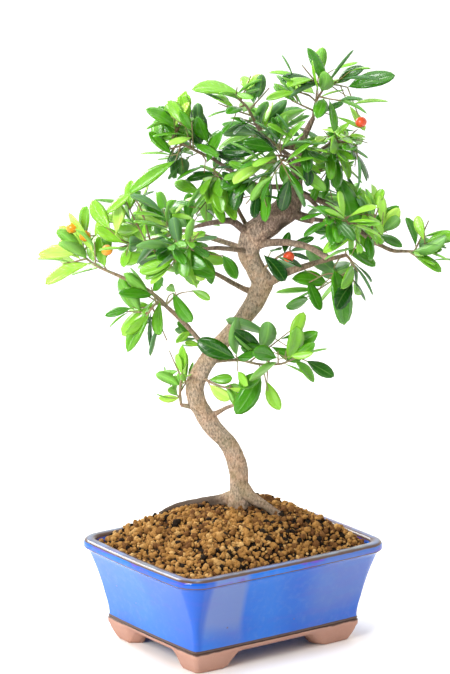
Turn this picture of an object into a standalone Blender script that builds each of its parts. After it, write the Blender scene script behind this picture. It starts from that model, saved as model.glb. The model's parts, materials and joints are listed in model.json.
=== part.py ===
"""Pyracantha bonsai in a rectangular glazed pot, as separate closed solids.

Run with: blender --background --python part.py
Units are metres, +Z is up and z = 0 is the flat underside of the pot's feet. The origin is the
middle of the whole object's box at that level. The pot's long side lies along X. The tree is
drawn in its own axes (across, deep, up) from the middle of the pot, and an empty turns them.
"""
import math
import random
from typing import NamedTuple

import bmesh
import bpy
import numpy as np
from mathutils import Matrix, Vector

# ---------------------------------------------------------------- driving sizes, in metres
GAP = 0.0003                        # kept between solids that touch
WELD = 0.000001                     # merges a curve's caps to its walls

POT_CENTRE = (-0.0032, 0.0019)      # middle of the pot, from the origin
TREE_TURN = math.radians(-35.57)    # the tree's "across" axis, turned from the pot's long side

POT_HALF_LENGTH = 0.0775
POT_HALF_WIDTH = 0.06335
RIM_HEIGHT = 0.0654
RIM_OVERHANG = 0.0152               # from the foot of the glazed wall out to the rim
RIM_BAND_HEIGHT = 0.0050
RIM_TOP_WIDTH = 0.0078
RIM_ROUND = (0.0026, 0.0022)        # of the rim's outer edge, inward and down
RIM_INNER_ROUND = 0.0009
WALL_FOOT_HEIGHT = 0.0140
WALL_THICKNESS = 0.0065
WALL_FLARE = 1.64                   # power of the wall's outward curve
WALL_FLARE_REACH = 0.0122
WALL_STEPS = 6
UNDERCUT = (0.0030, 0.0025)         # below the rim band, inward and down
FLOOR_TOP = 0.0170
INNER_HEIGHTS = (0.0570, 0.0450, 0.0320)
BASE_HEIGHT = 0.0093                # underside of the body, between the feet
BASE_BAND_OUT = 0.0008              # how far the unglazed band stands out
BASE_BAND_CHAMFER = 0.0030
CORNER_RADIUS = 0.0100
CORNER_INNER_MORE = 0.0060          # what the wall's corner radius has over its offset's
CORNER_LEAST = 0.0030
CORNER_STEPS = 3
SIDE_BOW = 0.0012                   # how far the middle of a side stands out
DRAIN_RADIUS = 0.0070
DRAIN_SIDES = 16
DRAIN_SPACING = 0.0280              # from the middle of the pot
FOOT_TAPER = 0.0035
FOOT_ARMS = (0.020, 0.015)          # length of a foot's two arms on the ground
FOOT_SPREAD = (0.014, 0.011)        # how much longer they are at the top
FOOT_THICKNESS = 0.0110
FOOT_CORNER = 0.0060
FOOT_LEVELS = (0.0, 0.4, 1.0)       # shares of a foot's height
FOOT_CURVE = 1.5                    # power of the taper's curve

SOIL_EDGE_HEIGHT = 0.0615
GROUND_HEIGHT = 0.0825              # flat top of the mound, where the trunk is cut
MOUND_TOP_RADIUS = 0.0150
MOUND_POWER = 2.1
MOUND_STEPS = 7
SOIL_SIDES = 34
SOIL_LUMP = 0.0011                  # how far the soil's lumps stand out, and its dips sink
SOIL_LUMP_SPACING = 0.0130
SOIL_RIPPLES = (0.35, 1.55, 2.65)   # directions of the ripples that cross to make the lumps
SOIL_EDGE_DROP = 0.0045             # height over which the soil's edge draws in from the wall
SOIL_EDGE_INSET = 0.0016

LEAF_THICKNESS = 0.0009
ROOT_SINK = 0.0016                  # how much of the last leaf's root is inside its twig
LEAF_WIDTH = 0.42                   # of a leaf's length
LEAF_SIDES = 4
LEAF_SHIFT = 0.8                    # under one moves a leaf's broadest place towards its tip
BERRY_RADIUS = 0.0036
BERRY_SIDES = 6
TWIG_RADIUS = (0.0008, 0.0005)
TWIG_POINTS = 3
TWIG_TESTS = 4                      # places tested on each of a twig's spans
STEM_RADIUS = (0.0010, 0.0006)
STEM_STEPS = 2
TRUNK_SIDES = 8
BOUGH_SIDES = 6
SLEEVE_SIDES = 12
CLEARANCE = 0.0009                  # of a leaf or twig from a limb
SPACE_MARGIN = 0.03                 # share of a space's size left between two spaces
TRIES = 9                           # turns tried before a leaf is skipped
BEND = 0.12                         # how far a twig to an outer leaf sags or arches
SHRINK = 0.96                       # of a leaf's length, from one try to the next
LEAF_RANGE = (0.70, 1.30)           # shortest and longest, of the mass's own leaf length
LEAF_PLACES = (0.25, 0.93)          # of a twig's length, its first leaf's place and its last's
LEAF_LEAN = (1.15, 0.30)            # of the first and the last leaf, from the twig
LEAN_RANGE = (0.75, 1.20)
TURN_RANGE = (0.5, 1.1)             # from one try to the next
SHOOT_PLACES = (0.1, 1.0)           # of the stem's length, where its shoots stand
SHOOT_STRAY = 0.5                   # of a shoot's turn round the stem
SHOOT_FORWARD = (0.1, 0.7)
SHOOT_SHORT = (0.2, 0.6)            # leaf lengths that a shoot stops short of its space's wall
SHOOT_LEAST = 0.25                  # leaf lengths in the shortest shoot
TWIG_BEND = 0.3
CROWN_MIDDLE = np.array((0.02, 0.01, 0.24))
FRONT_TILT = np.array((0.0, -0.7, 0.0))     # turns the outermost leaves a little to the front
LIGHT_UP = 0.7                      # how much a leaf faces up, outwards and any way
LIGHT_OUT = 0.6
LIGHT_STRAY = 0.4
GOLDEN = math.radians(137.5)
UP = np.array((0.0, 0.0, 1.0))
TINY = 1e-15                        # keeps a line that runs level with a face from dividing by 0

# trunk: across, deep, up, radius, from below the ground line to the tip
TRUNK = (
    (0.0045, 0.0140, 0.0760, 0.0088), (0.0042, 0.0140, 0.0850, 0.0072),
    (0.0040, 0.0140, 0.0930, 0.0058), (0.0034, 0.0140, 0.1070, 0.0057),
    (-0.0018, 0.0130, 0.1212, 0.0056), (-0.0122, 0.0120, 0.1340, 0.0055),
    (-0.0206, 0.0110, 0.1475, 0.0055), (-0.0238, 0.0100, 0.1590, 0.0055),
    (-0.0209, 0.0090, 0.1690, 0.0054), (-0.0117, 0.0090, 0.1837, 0.0051),
    (0.0028, 0.0110, 0.1995, 0.0052), (0.0140, 0.0120, 0.2150, 0.0057),
    (0.0177, 0.0120, 0.2260, 0.0058), (0.0138, 0.0110, 0.2355, 0.0058),
    (0.0095, 0.0100, 0.2460, 0.0063), (0.0125, 0.0090, 0.2560, 0.0071),
    (0.0222, 0.0080, 0.2650, 0.0079), (0.0318, 0.0090, 0.2728, 0.0079),
    (0.0360, 0.0100, 0.2815, 0.0068), (0.0380, 0.0100, 0.2915, 0.0045),
    (0.0418, 0.0100, 0.3045, 0.0028), (0.0418, 0.0100, 0.3140, 0.0021),
    (0.0488, 0.0080, 0.3300, 0.0013),
)
# roots that run over the mound: across, deep, up, radius
SURFACE_ROOTS = (
    ((0.0050, 0.0130, 0.0965, 0.0046), (0.0120, 0.0090, 0.0893, 0.0037),
     (0.0210, 0.0040, 0.0850, 0.0026), (0.0300, -0.0020, 0.0795, 0.0020),
     (0.0360, -0.0060, 0.0730, 0.0014)),
    ((0.0040, 0.0150, 0.0890, 0.0045), (-0.0080, 0.0200, 0.0840, 0.0036),
     (-0.0220, 0.0270, 0.0800, 0.0032), (-0.0360, 0.0330, 0.0755, 0.0026),
     (-0.0460, 0.0360, 0.0700, 0.0018)),
    ((0.0040, 0.0150, 0.0890, 0.0042), (0.0100, 0.0240, 0.0845, 0.0032),
     (0.0160, 0.0330, 0.0790, 0.0024), (0.0200, 0.0400, 0.0720, 0.0016)),
)


class Bough(NamedTuple):
    """One tapering limb: what it grows from, its radius at both ends, and its path."""
    parent: str
    radii: tuple
    path: tuple


class Mass(NamedTuple):
    """One mass of foliage: what its stem grows from, the stem's path, the middle and the half
    sizes of the egg-shaped space it keeps to, how its twigs and leaves grow, and the foot and
    tip of each leaf that stands out from the crown."""
    parent: str
    stem: tuple
    middle: tuple
    half: tuple
    shoots: int
    leaves: int
    leaf: float
    lift: float
    seed: int
    tips: tuple = ()
    berries: tuple = ()


BOUGHS = {
    "bough_lower_left": Bough("trunk", (0.0017, 0.0011), (
        (-0.0120, 0.0090, 0.1820), (-0.0190, 0.0065, 0.1890), (-0.0260, 0.0040, 0.1980),
        (-0.0340, 0.0000, 0.2075), (-0.0415, -0.0040, 0.2155))),
    "bough_far_left": Bough("bough_lower_left", (0.0011, 0.0009), (
        (-0.0415, -0.0040, 0.2155), (-0.0495, -0.0070, 0.2240), (-0.0595, -0.0090, 0.2305),
        (-0.0710, -0.0100, 0.2360))),
    "bough_mid_left": Bough("trunk", (0.0016, 0.0010), (
        (0.0160, 0.0120, 0.2195), (0.0060, 0.0135, 0.2225), (-0.0075, 0.0160, 0.2295),
        (-0.0175, 0.0180, 0.2340), (-0.0270, 0.0200, 0.2370))),
    "bough_upper_left": Bough("trunk", (0.0028, 0.0012), (
        (0.0135, 0.0085, 0.2560), (0.0068, 0.0050, 0.2610), (-0.0012, 0.0000, 0.2675),
        (-0.0110, -0.0060, 0.2680), (-0.0213, -0.0100, 0.2665))),
    "twig_upper_left": Bough("trunk", (0.0013, 0.0009), (
        (0.0120, 0.0085, 0.2565), (0.0065, 0.0110, 0.2660), (0.0025, 0.0120, 0.2740),
        (-0.0012, 0.0120, 0.2840))),
    "bough_crown_left": Bough("trunk", (0.0019, 0.0010), (
        (0.0395, 0.0100, 0.2870), (0.0306, 0.0080, 0.2872), (0.0177, 0.0040, 0.2886),
        (0.0073, 0.0020, 0.2920), (-0.0012, 0.0000, 0.2986), (-0.0110, 0.0000, 0.3054))),
    "bough_apex_left": Bough("trunk", (0.0015, 0.0010), (
        (0.0418, 0.0100, 0.3110), (0.0286, 0.0040, 0.3134), (0.0194, 0.0000, 0.3190),
        (0.0133, 0.0000, 0.3288))),
    "bough_crown_front": Bough("trunk", (0.0016, 0.0011), (
        (0.0405, 0.0100, 0.2930), (0.0380, 0.0010, 0.2980), (0.0355, -0.0070, 0.3030),
        (0.0340, -0.0120, 0.3065))),
    "bough_crown_right": Bough("trunk", (0.0015, 0.0010), (
        (0.0425, 0.0100, 0.3020), (0.0519, 0.0070, 0.3090), (0.0604, 0.0060, 0.3150))),
    "bough_right_long": Bough("trunk", (0.0020, 0.0012), (
        (0.0390, 0.0095, 0.2835), (0.0520, 0.0020, 0.2803), (0.0642, 0.0000, 0.2744),
        (0.0740, -0.0020, 0.2655), (0.0830, -0.0040, 0.2571))),
    "bough_far_right": Bough("bough_right_long", (0.0012, 0.0009), (
        (0.0830, -0.0040, 0.2571), (0.0966, -0.0040, 0.2503), (0.1040, -0.0040, 0.2495))),
    "bough_right_low": Bough("trunk", (0.0029, 0.0011), (
        (0.0180, 0.0120, 0.2265), (0.0250, 0.0080, 0.2290), (0.0327, 0.0060, 0.2338),
        (0.0413, 0.0060, 0.2369), (0.0530, 0.0080, 0.2403), (0.0697, 0.0100, 0.2443))),
    "stub_right": Bough("trunk", (0.0023, 0.0016), (
        (0.0120, 0.0095, 0.2500), (0.0230, 0.0000, 0.2540), (0.0348, -0.0080, 0.2555),
        (0.0456, -0.0130, 0.2540), (0.0565, -0.0180, 0.2488))),
    "twig_low_right": Bough("trunk", (0.0010, 0.0009), (
        (-0.0165, 0.0090, 0.1755), (-0.0110, 0.0070, 0.1775), (-0.0040, 0.0040, 0.1790))),
    "stub_low_right": Bough("trunk", (0.0016, 0.0010), (
        (-0.0155, 0.0115, 0.1410), (-0.0093, 0.0070, 0.1449), (-0.0043, 0.0040, 0.1485),
        (0.0019, 0.0000, 0.1521))),
    "stub_low_left": Bough("trunk", (0.0013, 0.0011), (
        (-0.0210, 0.0105, 0.1478), (-0.0273, 0.0100, 0.1482), (-0.0323, 0.0100, 0.1489))),
    "stub_knuckle": Bough("trunk", (0.0030, 0.0025), (
        (0.0330, 0.0090, 0.2730), (0.0410, 0.0030, 0.2700), (0.0490, 0.0000, 0.2685))),
    "bough_back_left": Bough("trunk", (0.0019, 0.0011), (
        (0.0100, 0.0100, 0.2440), (0.0040, 0.0200, 0.2470), (-0.0100, 0.0340, 0.2490),
        (-0.0240, 0.0440, 0.2510))),
    "bough_back_right": Bough("trunk", (0.0020, 0.0011), (
        (0.0225, 0.0085, 0.2645), (0.0320, 0.0220, 0.2660), (0.0460, 0.0360, 0.2620),
        (0.0580, 0.0450, 0.2590))),
    "bough_back_top": Bough("trunk", (0.0016, 0.0011), (
        (0.0410, 0.0100, 0.2970), (0.0370, 0.0220, 0.3020), (0.0310, 0.0340, 0.3050),
        (0.0250, 0.0420, 0.3080))),
    "bough_front_right": Bough("trunk", (0.0016, 0.0010), (
        (0.0375, 0.0100, 0.2785), (0.0440, -0.0060, 0.2840), (0.0520, -0.0180, 0.2790),
        (0.0580, -0.0260, 0.2740))),
    "bough_front_left": Bough("trunk", (0.0016, 0.0010), (
        (0.0095, 0.0100, 0.2470), (0.0030, -0.0020, 0.2500), (-0.0100, -0.0160, 0.2540),
        (-0.0200, -0.0260, 0.2550))),
}

MASSES = {
    "leaves_far_left": Mass("bough_far_left", (
        (-0.0710, -0.0100, 0.2360), (-0.0830, -0.0100, 0.2415), (-0.0920, -0.0090, 0.2480)),
        (-0.0940, -0.0080, 0.2520), (0.0265, 0.0240, 0.0250), 3, 3, 0.023, 0.2, 65, (
            ((-0.0861, -0.0100, 0.2440), (-0.1129, -0.0140, 0.2337)),
            ((-0.0898, -0.0080, 0.2511), (-0.1168, -0.0060, 0.2482)),
            ((-0.0910, -0.0060, 0.2569), (-0.0894, -0.0100, 0.2770)),
            ((-0.0846, -0.0120, 0.2594), (-0.0771, -0.0140, 0.2759))),
        ((-0.0980, -0.0120, 0.2656), (-0.0900, -0.0140, 0.2610))),
    "leaves_left_mid": Mass("bough_upper_left", (
        (-0.0213, -0.0100, 0.2665), (-0.0350, -0.0140, 0.2625), (-0.0505, -0.0150, 0.2587),
        (-0.0633, -0.0150, 0.2555)),
        (-0.0560, -0.0130, 0.2660), (0.0360, 0.0290, 0.0300), 5, 3, 0.021, 0.3, 85, (
            ((-0.0607, -0.0120, 0.2878), (-0.0763, -0.0200, 0.2783)),),
        ((-0.0767, -0.0140, 0.2523),)),
    "leaves_left_low": Mass("bough_lower_left", (
        (-0.0415, -0.0040, 0.2155), (-0.0475, -0.0070, 0.2170), (-0.0530, -0.0100, 0.2100)),
        (-0.0490, -0.0060, 0.2150), (0.0290, 0.0250, 0.0300), 4, 3, 0.023, -0.2, 23, (
            ((-0.0257, -0.0080, 0.2261), (-0.0147, -0.0120, 0.2214)),
            ((-0.0496, -0.0080, 0.2161), (-0.0643, -0.0140, 0.1910)),
            ((-0.0447, -0.0100, 0.2203), (-0.0460, -0.0120, 0.2000)),
            ((-0.0374, -0.0060, 0.2251), (-0.0264, -0.0100, 0.2077)))),
    "leaves_left_inner": Mass("bough_mid_left", (
        (-0.0270, 0.0200, 0.2370), (-0.0390, 0.0200, 0.2405), (-0.0500, 0.0180, 0.2460)),
        (-0.0240, 0.0160, 0.2420), (0.0360, 0.0270, 0.0260), 5, 3, 0.021, 0.2, 4, (
            ((-0.0068, 0.0120, 0.2445), (0.0019, 0.0080, 0.2308)),)),
    "leaves_upper_mid": Mass("twig_upper_left", (
        (-0.0012, 0.0120, 0.2840), (-0.0060, 0.0100, 0.2910), (-0.0120, 0.0060, 0.2960)),
        (-0.0090, 0.0060, 0.2830), (0.0320, 0.0270, 0.0290), 5, 3, 0.021, 0.1, 93),
    "leaves_upper_left": Mass("bough_crown_left", (
        (-0.0110, 0.0000, 0.3054), (-0.0260, -0.0020, 0.3132), (-0.0370, -0.0030, 0.3195)),
        (-0.0260, 0.0000, 0.3150), (0.0310, 0.0280, 0.0320), 4, 3, 0.022, 0.2, 90, (
            ((-0.0310, -0.0040, 0.3258), (-0.0508, -0.0080, 0.3375)),
            ((-0.0262, 0.0020, 0.3199), (-0.0476, 0.0040, 0.3183)),
            ((-0.0334, -0.0080, 0.3074), (-0.0612, -0.0160, 0.2910)),
            ((-0.0298, 0.0000, 0.3300), (-0.0280, 0.0040, 0.3441)),
            ((-0.0165, -0.0040, 0.3036), (-0.0067, -0.0100, 0.3231)),
            ((-0.0128, 0.0000, 0.3110), (0.0030, -0.0060, 0.3065)))),
    "leaves_apex_left": Mass("bough_apex_left", (
        (0.0133, 0.0000, 0.3288), (0.0080, -0.0030, 0.3390), (0.0000, -0.0040, 0.3460)),
        (0.0070, -0.0010, 0.3350), (0.0330, 0.0270, 0.0270), 5, 3, 0.022, 0.2, 28, (
            ((0.0054, -0.0040, 0.3472), (-0.0218, -0.0100, 0.3524)),
            ((0.0066, 0.0000, 0.3472), (0.0163, 0.0040, 0.3570)))),
    "leaves_apex": Mass("trunk", (
        (0.0488, 0.0080, 0.3300), (0.0505, 0.0060, 0.3405), (0.0560, 0.0040, 0.3500)),
        (0.0530, 0.0050, 0.3420), (0.0430, 0.0290, 0.0320), 4, 3, 0.022, 0.2, 52, (
            ((0.0570, 0.0050, 0.3513), (0.0477, 0.0020, 0.3737)),
            ((0.0626, 0.0080, 0.3509), (0.0786, 0.0140, 0.3598)),
            ((0.0680, 0.0060, 0.3487), (0.0960, 0.0080, 0.3570)),
            ((0.0539, 0.0020, 0.3518), (0.0308, -0.0040, 0.3557)),
            ((0.0530, 0.0020, 0.3340), (0.0655, 0.0000, 0.3405)),
            ((0.0395, 0.0060, 0.3463), (0.0212, 0.0040, 0.3435))),
        ((0.0777, 0.0000, 0.3288),)),
    "leaves_crown_front": Mass("bough_crown_front", (
        (0.0340, -0.0120, 0.3065), (0.0320, -0.0200, 0.3110), (0.0260, -0.0270, 0.3130)),
        (0.0240, -0.0180, 0.3050), (0.0360, 0.0280, 0.0360), 5, 3, 0.021, 0.0, 100),
    "leaves_right_upper": Mass("bough_crown_right", (
        (0.0604, 0.0060, 0.3150), (0.0690, 0.0040, 0.3155), (0.0750, 0.0020, 0.3080)),
        (0.0600, 0.0040, 0.3070), (0.0270, 0.0290, 0.0340), 5, 3, 0.020, 0.0, 52, (
            ((0.0626, -0.0040, 0.2987), (0.0735, -0.0120, 0.2681)),
            ((0.0600, -0.0030, 0.3185), (0.0683, -0.0080, 0.3289)))),
    "leaves_right_mid": Mass("bough_right_long", (
        (0.0830, -0.0040, 0.2571), (0.0850, -0.0030, 0.2640), (0.0850, 0.0000, 0.2710)),
        (0.0790, 0.0000, 0.2630), (0.0300, 0.0270, 0.0270), 5, 3, 0.021, 0.2, 28, (
            ((0.0865, -0.0090, 0.2615), (0.1019, -0.0130, 0.2550)),)),
    "leaves_far_right": Mass("bough_far_right", (
        (0.1040, -0.0040, 0.2495), (0.1120, -0.0040, 0.2495), (0.1190, -0.0040, 0.2510)),
        (0.1140, -0.0040, 0.2520), (0.0235, 0.0230, 0.0220), 4, 3, 0.022, 0.2, 89, (
            ((0.1076, -0.0060, 0.2501), (0.1262, -0.0120, 0.2407)),
            ((0.1168, -0.0040, 0.2547), (0.1361, -0.0060, 0.2594)),
            ((0.1123, 0.0020, 0.2509), (0.1074, 0.0060, 0.2676)))),
    "leaves_right_low": Mass("bough_right_low", (
        (0.0697, 0.0100, 0.2443), (0.0735, 0.0100, 0.2390), (0.0720, 0.0090, 0.2305)),
        (0.0560, 0.0060, 0.2320), (0.0340, 0.0280, 0.0290), 5, 3, 0.025, -0.2, 37, (
            ((0.0616, 0.0060, 0.2382), (0.0703, 0.0000, 0.2055)),
            ((0.0462, 0.0040, 0.2298), (0.0535, -0.0020, 0.2135)),
            ((0.0687, 0.0020, 0.2509), (0.0863, -0.0040, 0.2422)))),
    "leaves_fork": Mass("trunk", (
        (0.0160, 0.0115, 0.2320), (0.0228, 0.0040, 0.2405), (0.0300, 0.0000, 0.2465),
        (0.0350, -0.0020, 0.2490)),
        (0.0330, -0.0020, 0.2440), (0.0210, 0.0170, 0.0160), 1, 2, 0.016, 0.1, 44, (
            ((0.0184, 0.0020, 0.2465), (0.0313, -0.0040, 0.2328)),
            ((0.0349, 0.0000, 0.2520), (0.0483, -0.0040, 0.2578))),
        ((0.0340, -0.0080, 0.2470),)),
    "leaves_low_right": Mass("twig_low_right", (
        (-0.0040, 0.0040, 0.1790), (0.0056, -0.0010, 0.1801), (0.0154, -0.0060, 0.1790),
        (0.0289, -0.0100, 0.1800), (0.0369, -0.0120, 0.1836)),
        (0.0180, -0.0080, 0.1850), (0.0400, 0.0270, 0.0280), 5, 3, 0.024, 0.1, 95, (
            ((0.0191, -0.0080, 0.1865), (0.0018, -0.0140, 0.2011)),
            ((0.0313, -0.0100, 0.1876), (0.0502, -0.0140, 0.1999)),
            ((0.0357, -0.0060, 0.1891), (0.0430, -0.0040, 0.2095)),
            ((0.0443, -0.0100, 0.1825), (0.0608, -0.0140, 0.1740)),
            ((0.0179, -0.0080, 0.1751), (0.0031, -0.0160, 0.1517)),
            ((0.0204, -0.0040, 0.1684), (0.0285, -0.0060, 0.1510)))),
    "leaves_low_mid": Mass("trunk", (
        (-0.0200, 0.0090, 0.1680), (-0.0150, 0.0020, 0.1660), (-0.0080, -0.0020, 0.1640),
        (-0.0020, -0.0040, 0.1630)),
        (-0.0060, -0.0020, 0.1620), (0.0140, 0.0140, 0.0120), 0, 2, 0.013, -0.1, 14, (
            ((-0.0154, 0.0020, 0.1643), (-0.0024, -0.0020, 0.1564)),
            ((-0.0154, 0.0020, 0.1669), (-0.0018, -0.0020, 0.1690)),
            ((-0.0012, 0.0000, 0.1648), (0.0025, -0.0040, 0.1524)))),
    "leaves_elbow": Mass("trunk", (
        (-0.0117, 0.0090, 0.1824), (-0.0160, 0.0130, 0.1855), (-0.0200, 0.0140, 0.1890),
        (-0.0241, 0.0130, 0.1944)),
        (-0.0250, 0.0110, 0.1920), (0.0150, 0.0130, 0.0130), 0, 2, 0.012, 0.0, 36, (
            ((-0.0195, 0.0115, 0.1865), (-0.0290, 0.0085, 0.1890)),
            ((-0.0260, 0.0100, 0.1962), (-0.0346, 0.0040, 0.1906)))),
    "leaves_low_left": Mass("stub_low_left", (
        (-0.0323, 0.0100, 0.1489), (-0.0329, 0.0080, 0.1590), (-0.0316, 0.0060, 0.1700)),
        (-0.0350, 0.0080, 0.1670), (0.0160, 0.0160, 0.0220), 4, 2, 0.016, 0.3, 62, (
            ((-0.0316, 0.0060, 0.1710), (-0.0321, 0.0040, 0.1868)),
            ((-0.0329, 0.0080, 0.1539), (-0.0453, 0.0040, 0.1549)))),
    "leaves_back_left": Mass("bough_back_left", (
        (-0.0240, 0.0440, 0.2510), (-0.0360, 0.0510, 0.2525), (-0.0460, 0.0560, 0.2560)),
        (-0.0380, 0.0490, 0.2530), (0.0320, 0.0290, 0.0240), 5, 3, 0.022, 0.2, 80),
    "leaves_back_right": Mass("bough_back_right", (
        (0.0580, 0.0450, 0.2590), (0.0680, 0.0520, 0.2590), (0.0760, 0.0560, 0.2620)),
        (0.0680, 0.0490, 0.2590), (0.0310, 0.0290, 0.0240), 5, 3, 0.022, 0.2, 86, (),
        ((0.0600, 0.0620, 0.2500),)),
    "leaves_back_top": Mass("bough_back_top", (
        (0.0250, 0.0420, 0.3080), (0.0200, 0.0480, 0.3130), (0.0140, 0.0520, 0.3190)),
        (0.0240, 0.0430, 0.3080), (0.0340, 0.0290, 0.0280), 5, 3, 0.022, 0.2, 30, (),
        ((0.0100, 0.0600, 0.3050),)),
    "leaves_front_right": Mass("bough_front_right", (
        (0.0580, -0.0260, 0.2740), (0.0660, -0.0330, 0.2720), (0.0730, -0.0370, 0.2740)),
        (0.0650, -0.0330, 0.2700), (0.0260, 0.0240, 0.0230), 5, 3, 0.021, 0.1, 46),
    "leaves_front_left": Mass("bough_front_left", (
        (-0.0200, -0.0260, 0.2550), (-0.0300, -0.0340, 0.2570), (-0.0380, -0.0380, 0.2600)),
        (-0.0320, -0.0360, 0.2550), (0.0280, 0.0240, 0.0240), 5, 3, 0.021, 0.2, 97),
}


# ---------------------------------------------------------------- the rule of growth
def unit(vector):
    """The vector at length one."""
    return vector / np.linalg.norm(vector)


def between(ends, share):
    """The value at a share of the way from the first end to the second."""
    return ends[0] + (ends[1] - ends[0]) * share


def outward(forward, turn):
    """The direction square to a twig's, turned so far round it."""
    side = unit(np.cross(forward, UP) + np.array((0.001, 0, 0)))
    return side * math.cos(turn) + np.cross(side, forward) * math.sin(turn)


def smooth(points, steps):
    """Catmull-Rom curve through the rows of points, with so many steps from each to the next."""
    rows = np.array(points, float)
    rows = np.vstack([2 * rows[0] - rows[1], rows, 2 * rows[-1] - rows[-2]])
    t = np.linspace(0, 1, steps, endpoint=False)[:, None]
    spans = [0.5 * (2 * b + (c - a) * t + (2 * a - 5 * b + 4 * c - d) * t ** 2
                    + (3 * b - a - 3 * c + d) * t ** 3)
             for a, b, c, d in zip(rows, rows[1:], rows[2:], rows[3:])]
    return np.vstack(spans + [rows[-2:-1]])


def tapered(path, radii, steps):
    """A smooth path whose fourth column runs evenly from the first radius to the last."""
    line = smooth(path, steps)
    return np.column_stack([line, np.linspace(radii[0], radii[1], len(line))])


def outer_growth(mass):
    """A mass's twigs and leaves that stand out, its fruit stalks, and the lines of all of them,
    as across, deep, up and radius, by which other masses keep clear."""
    stem = smooth(mass.stem, STEM_STEPS)
    twigs, leaves, stalks, lines = [], [], [], []
    for foot, tip in mass.tips:
        base, along, face, length = set_leaf(foot, tip)
        knot = stem[np.argmin(np.linalg.norm(stem - base, axis=1))]
        bend = (knot + base) / 2 + UP * BEND * np.linalg.norm(base - knot)
        twigs.append(np.array([knot, bend, base + along * ROOT_SINK]))
        leaves.append((base, along, face, length))
        broad = LEAF_WIDTH * length / 2
        blade = np.array([base, base + along * 0.4 * length, base + along * length])
        lines.append(np.column_stack([blade, (0.2 * broad, broad, 0.6 * broad)]))
    knots = np.vstack([stem] + twigs)
    for berry in mass.berries:
        centre = np.array(berry)
        start = knots[np.argmin(np.linalg.norm(knots - centre, axis=1))]
        stalks.append(np.linspace(start, centre, 3))
        ball = np.linspace(centre - UP * BERRY_RADIUS / 2, centre + UP * BERRY_RADIUS / 2, 2)
        lines.append(np.column_stack([ball, np.full(2, BERRY_RADIUS)]))
    for thin in twigs + stalks:
        lines.append(np.column_stack([thin, np.full(len(thin), TWIG_RADIUS[0])]))
    return twigs, leaves, stalks, lines


def limb_lines():
    """The lines of every limb: the trunk's, each bough's, and for each mass those of its stem
    and of the leaves that stand out from it."""
    lines = {"trunk": [smooth(TRUNK, 1)]}
    for name, bough in BOUGHS.items():
        lines[name] = [tapered(bough.path, bough.radii, 1)]
    for name, mass in MASSES.items():
        lines[name] = [tapered(mass.stem, STEM_RADIUS, STEM_STEPS)] + outer_growth(mass)[-1]
    return lines


class Limbs:
    """The limbs as tapered lengths, to measure how far points are from their bark."""

    def __init__(self, lines, but):
        others = [line for name, group in lines.items() if name != but for line in group]
        ends = np.array([(a, b) for line in others for a, b in zip(line, line[1:])])
        self.start, self.run = ends[:, 0, :3], ends[:, 1, :3] - ends[:, 0, :3]
        self.radius, self.taper = ends[:, 0, 3], ends[:, 1, 3] - ends[:, 0, 3]
        self.square = np.einsum("ij,ij->i", self.run, self.run)

    def clear(self, points):
        """True where every point is at least the clearance away from every limb."""
        offset = points[:, None, :] - self.start[None]
        share = np.clip(np.einsum("pij,ij->pi", offset, self.run) / self.square, 0, 1)
        away = np.linalg.norm(offset - share[..., None] * self.run, axis=2)
        return bool(np.all(away - self.radius - share * self.taper > CLEARANCE))


def in_space(points, name):
    """True where the points are in the mass's egg-shaped space, on its own side of the others."""
    own = np.linalg.norm((points - MASSES[name].middle) / MASSES[name].half, axis=1)
    if own.max() > 1:
        return False
    others = [np.linalg.norm((points - mass.middle) / mass.half, axis=1)
              for other, mass in MASSES.items() if other != name]
    return bool(np.all(own + SPACE_MARGIN < np.min(others, axis=0)))


def leaf_points(base, along, face, length):
    """A leaf's tip, its broadest places, a place just past its root, and places between them."""
    across = np.cross(face, along) * (LEAF_WIDTH * length / 2)
    broad = base + along * 0.5 ** LEAF_SHIFT * length
    left, right = broad + across, broad - across
    tip, root = base + along * length, base + along * 0.1 * length
    middles = [(one + other) / 2 for one in (tip, root) for other in (left, right, broad)]
    return np.array([tip, left, right, root, broad] + middles)


def crossing(lines, triangles):
    """True where any line, a pair of ends, goes through any triangle.

    Each line meets each triangle's plane at one place, given by two shares of the triangle's
    sides and a share of the line. It goes through where all of them are from 0 to 1.
    """
    if not len(lines) or not len(triangles):
        return False
    start, run = lines[:, None, 0], lines[:, None, 1] - lines[:, None, 0]
    corner = triangles[None, :, 0]
    one, two = triangles[None, :, 1] - corner, triangles[None, :, 2] - corner
    across = np.cross(run, two)
    scale = np.einsum("etk,etk->et", one + 0 * across, across)
    scale = np.where(np.abs(scale) < TINY, TINY, scale)
    offset = start - corner
    turned = np.cross(offset, one)
    first = np.einsum("etk,etk->et", offset, across) / scale
    second = np.einsum("etk,etk->et", run + 0 * turned, turned) / scale
    along = np.einsum("etk,etk->et", two + 0 * turned, turned) / scale
    return bool(np.any((first >= 0) & (second >= 0) & (first + second <= 1)
                       & (along >= 0) & (along <= 1)))


class Growth:
    """What a leaf may not cross: the lines of all twigs and limbs, and the mass's own leaves."""

    def __init__(self, twigs):
        self.twigs = np.array([pair for twig in twigs for pair in zip(twig, twig[1:])])
        self.lines = np.empty((0, 2, 3))
        self.faces = np.empty((0, 3, 3))

    @staticmethod
    def of_leaf(points):
        """A leaf's two flat faces, and its four sides and midrib, from a little past its root."""
        tip, left, right, root = points[0], points[1], points[2], points[3]
        faces = np.array([(root, left, tip), (root, tip, right)])
        lines = np.array([(root, left), (left, tip), (root, right), (right, tip), (root, tip)])
        return lines, faces

    def free(self, points):
        """True where a leaf crosses none of the twigs and leaves."""
        lines, faces = self.of_leaf(points)
        return not (crossing(self.twigs, faces) or crossing(lines, self.faces)
                    or crossing(self.lines, faces))

    def add(self, points):
        """Takes in a leaf."""
        lines, faces = self.of_leaf(points)
        self.lines = np.concatenate([self.lines, lines])
        self.faces = np.concatenate([self.faces, faces])


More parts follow.
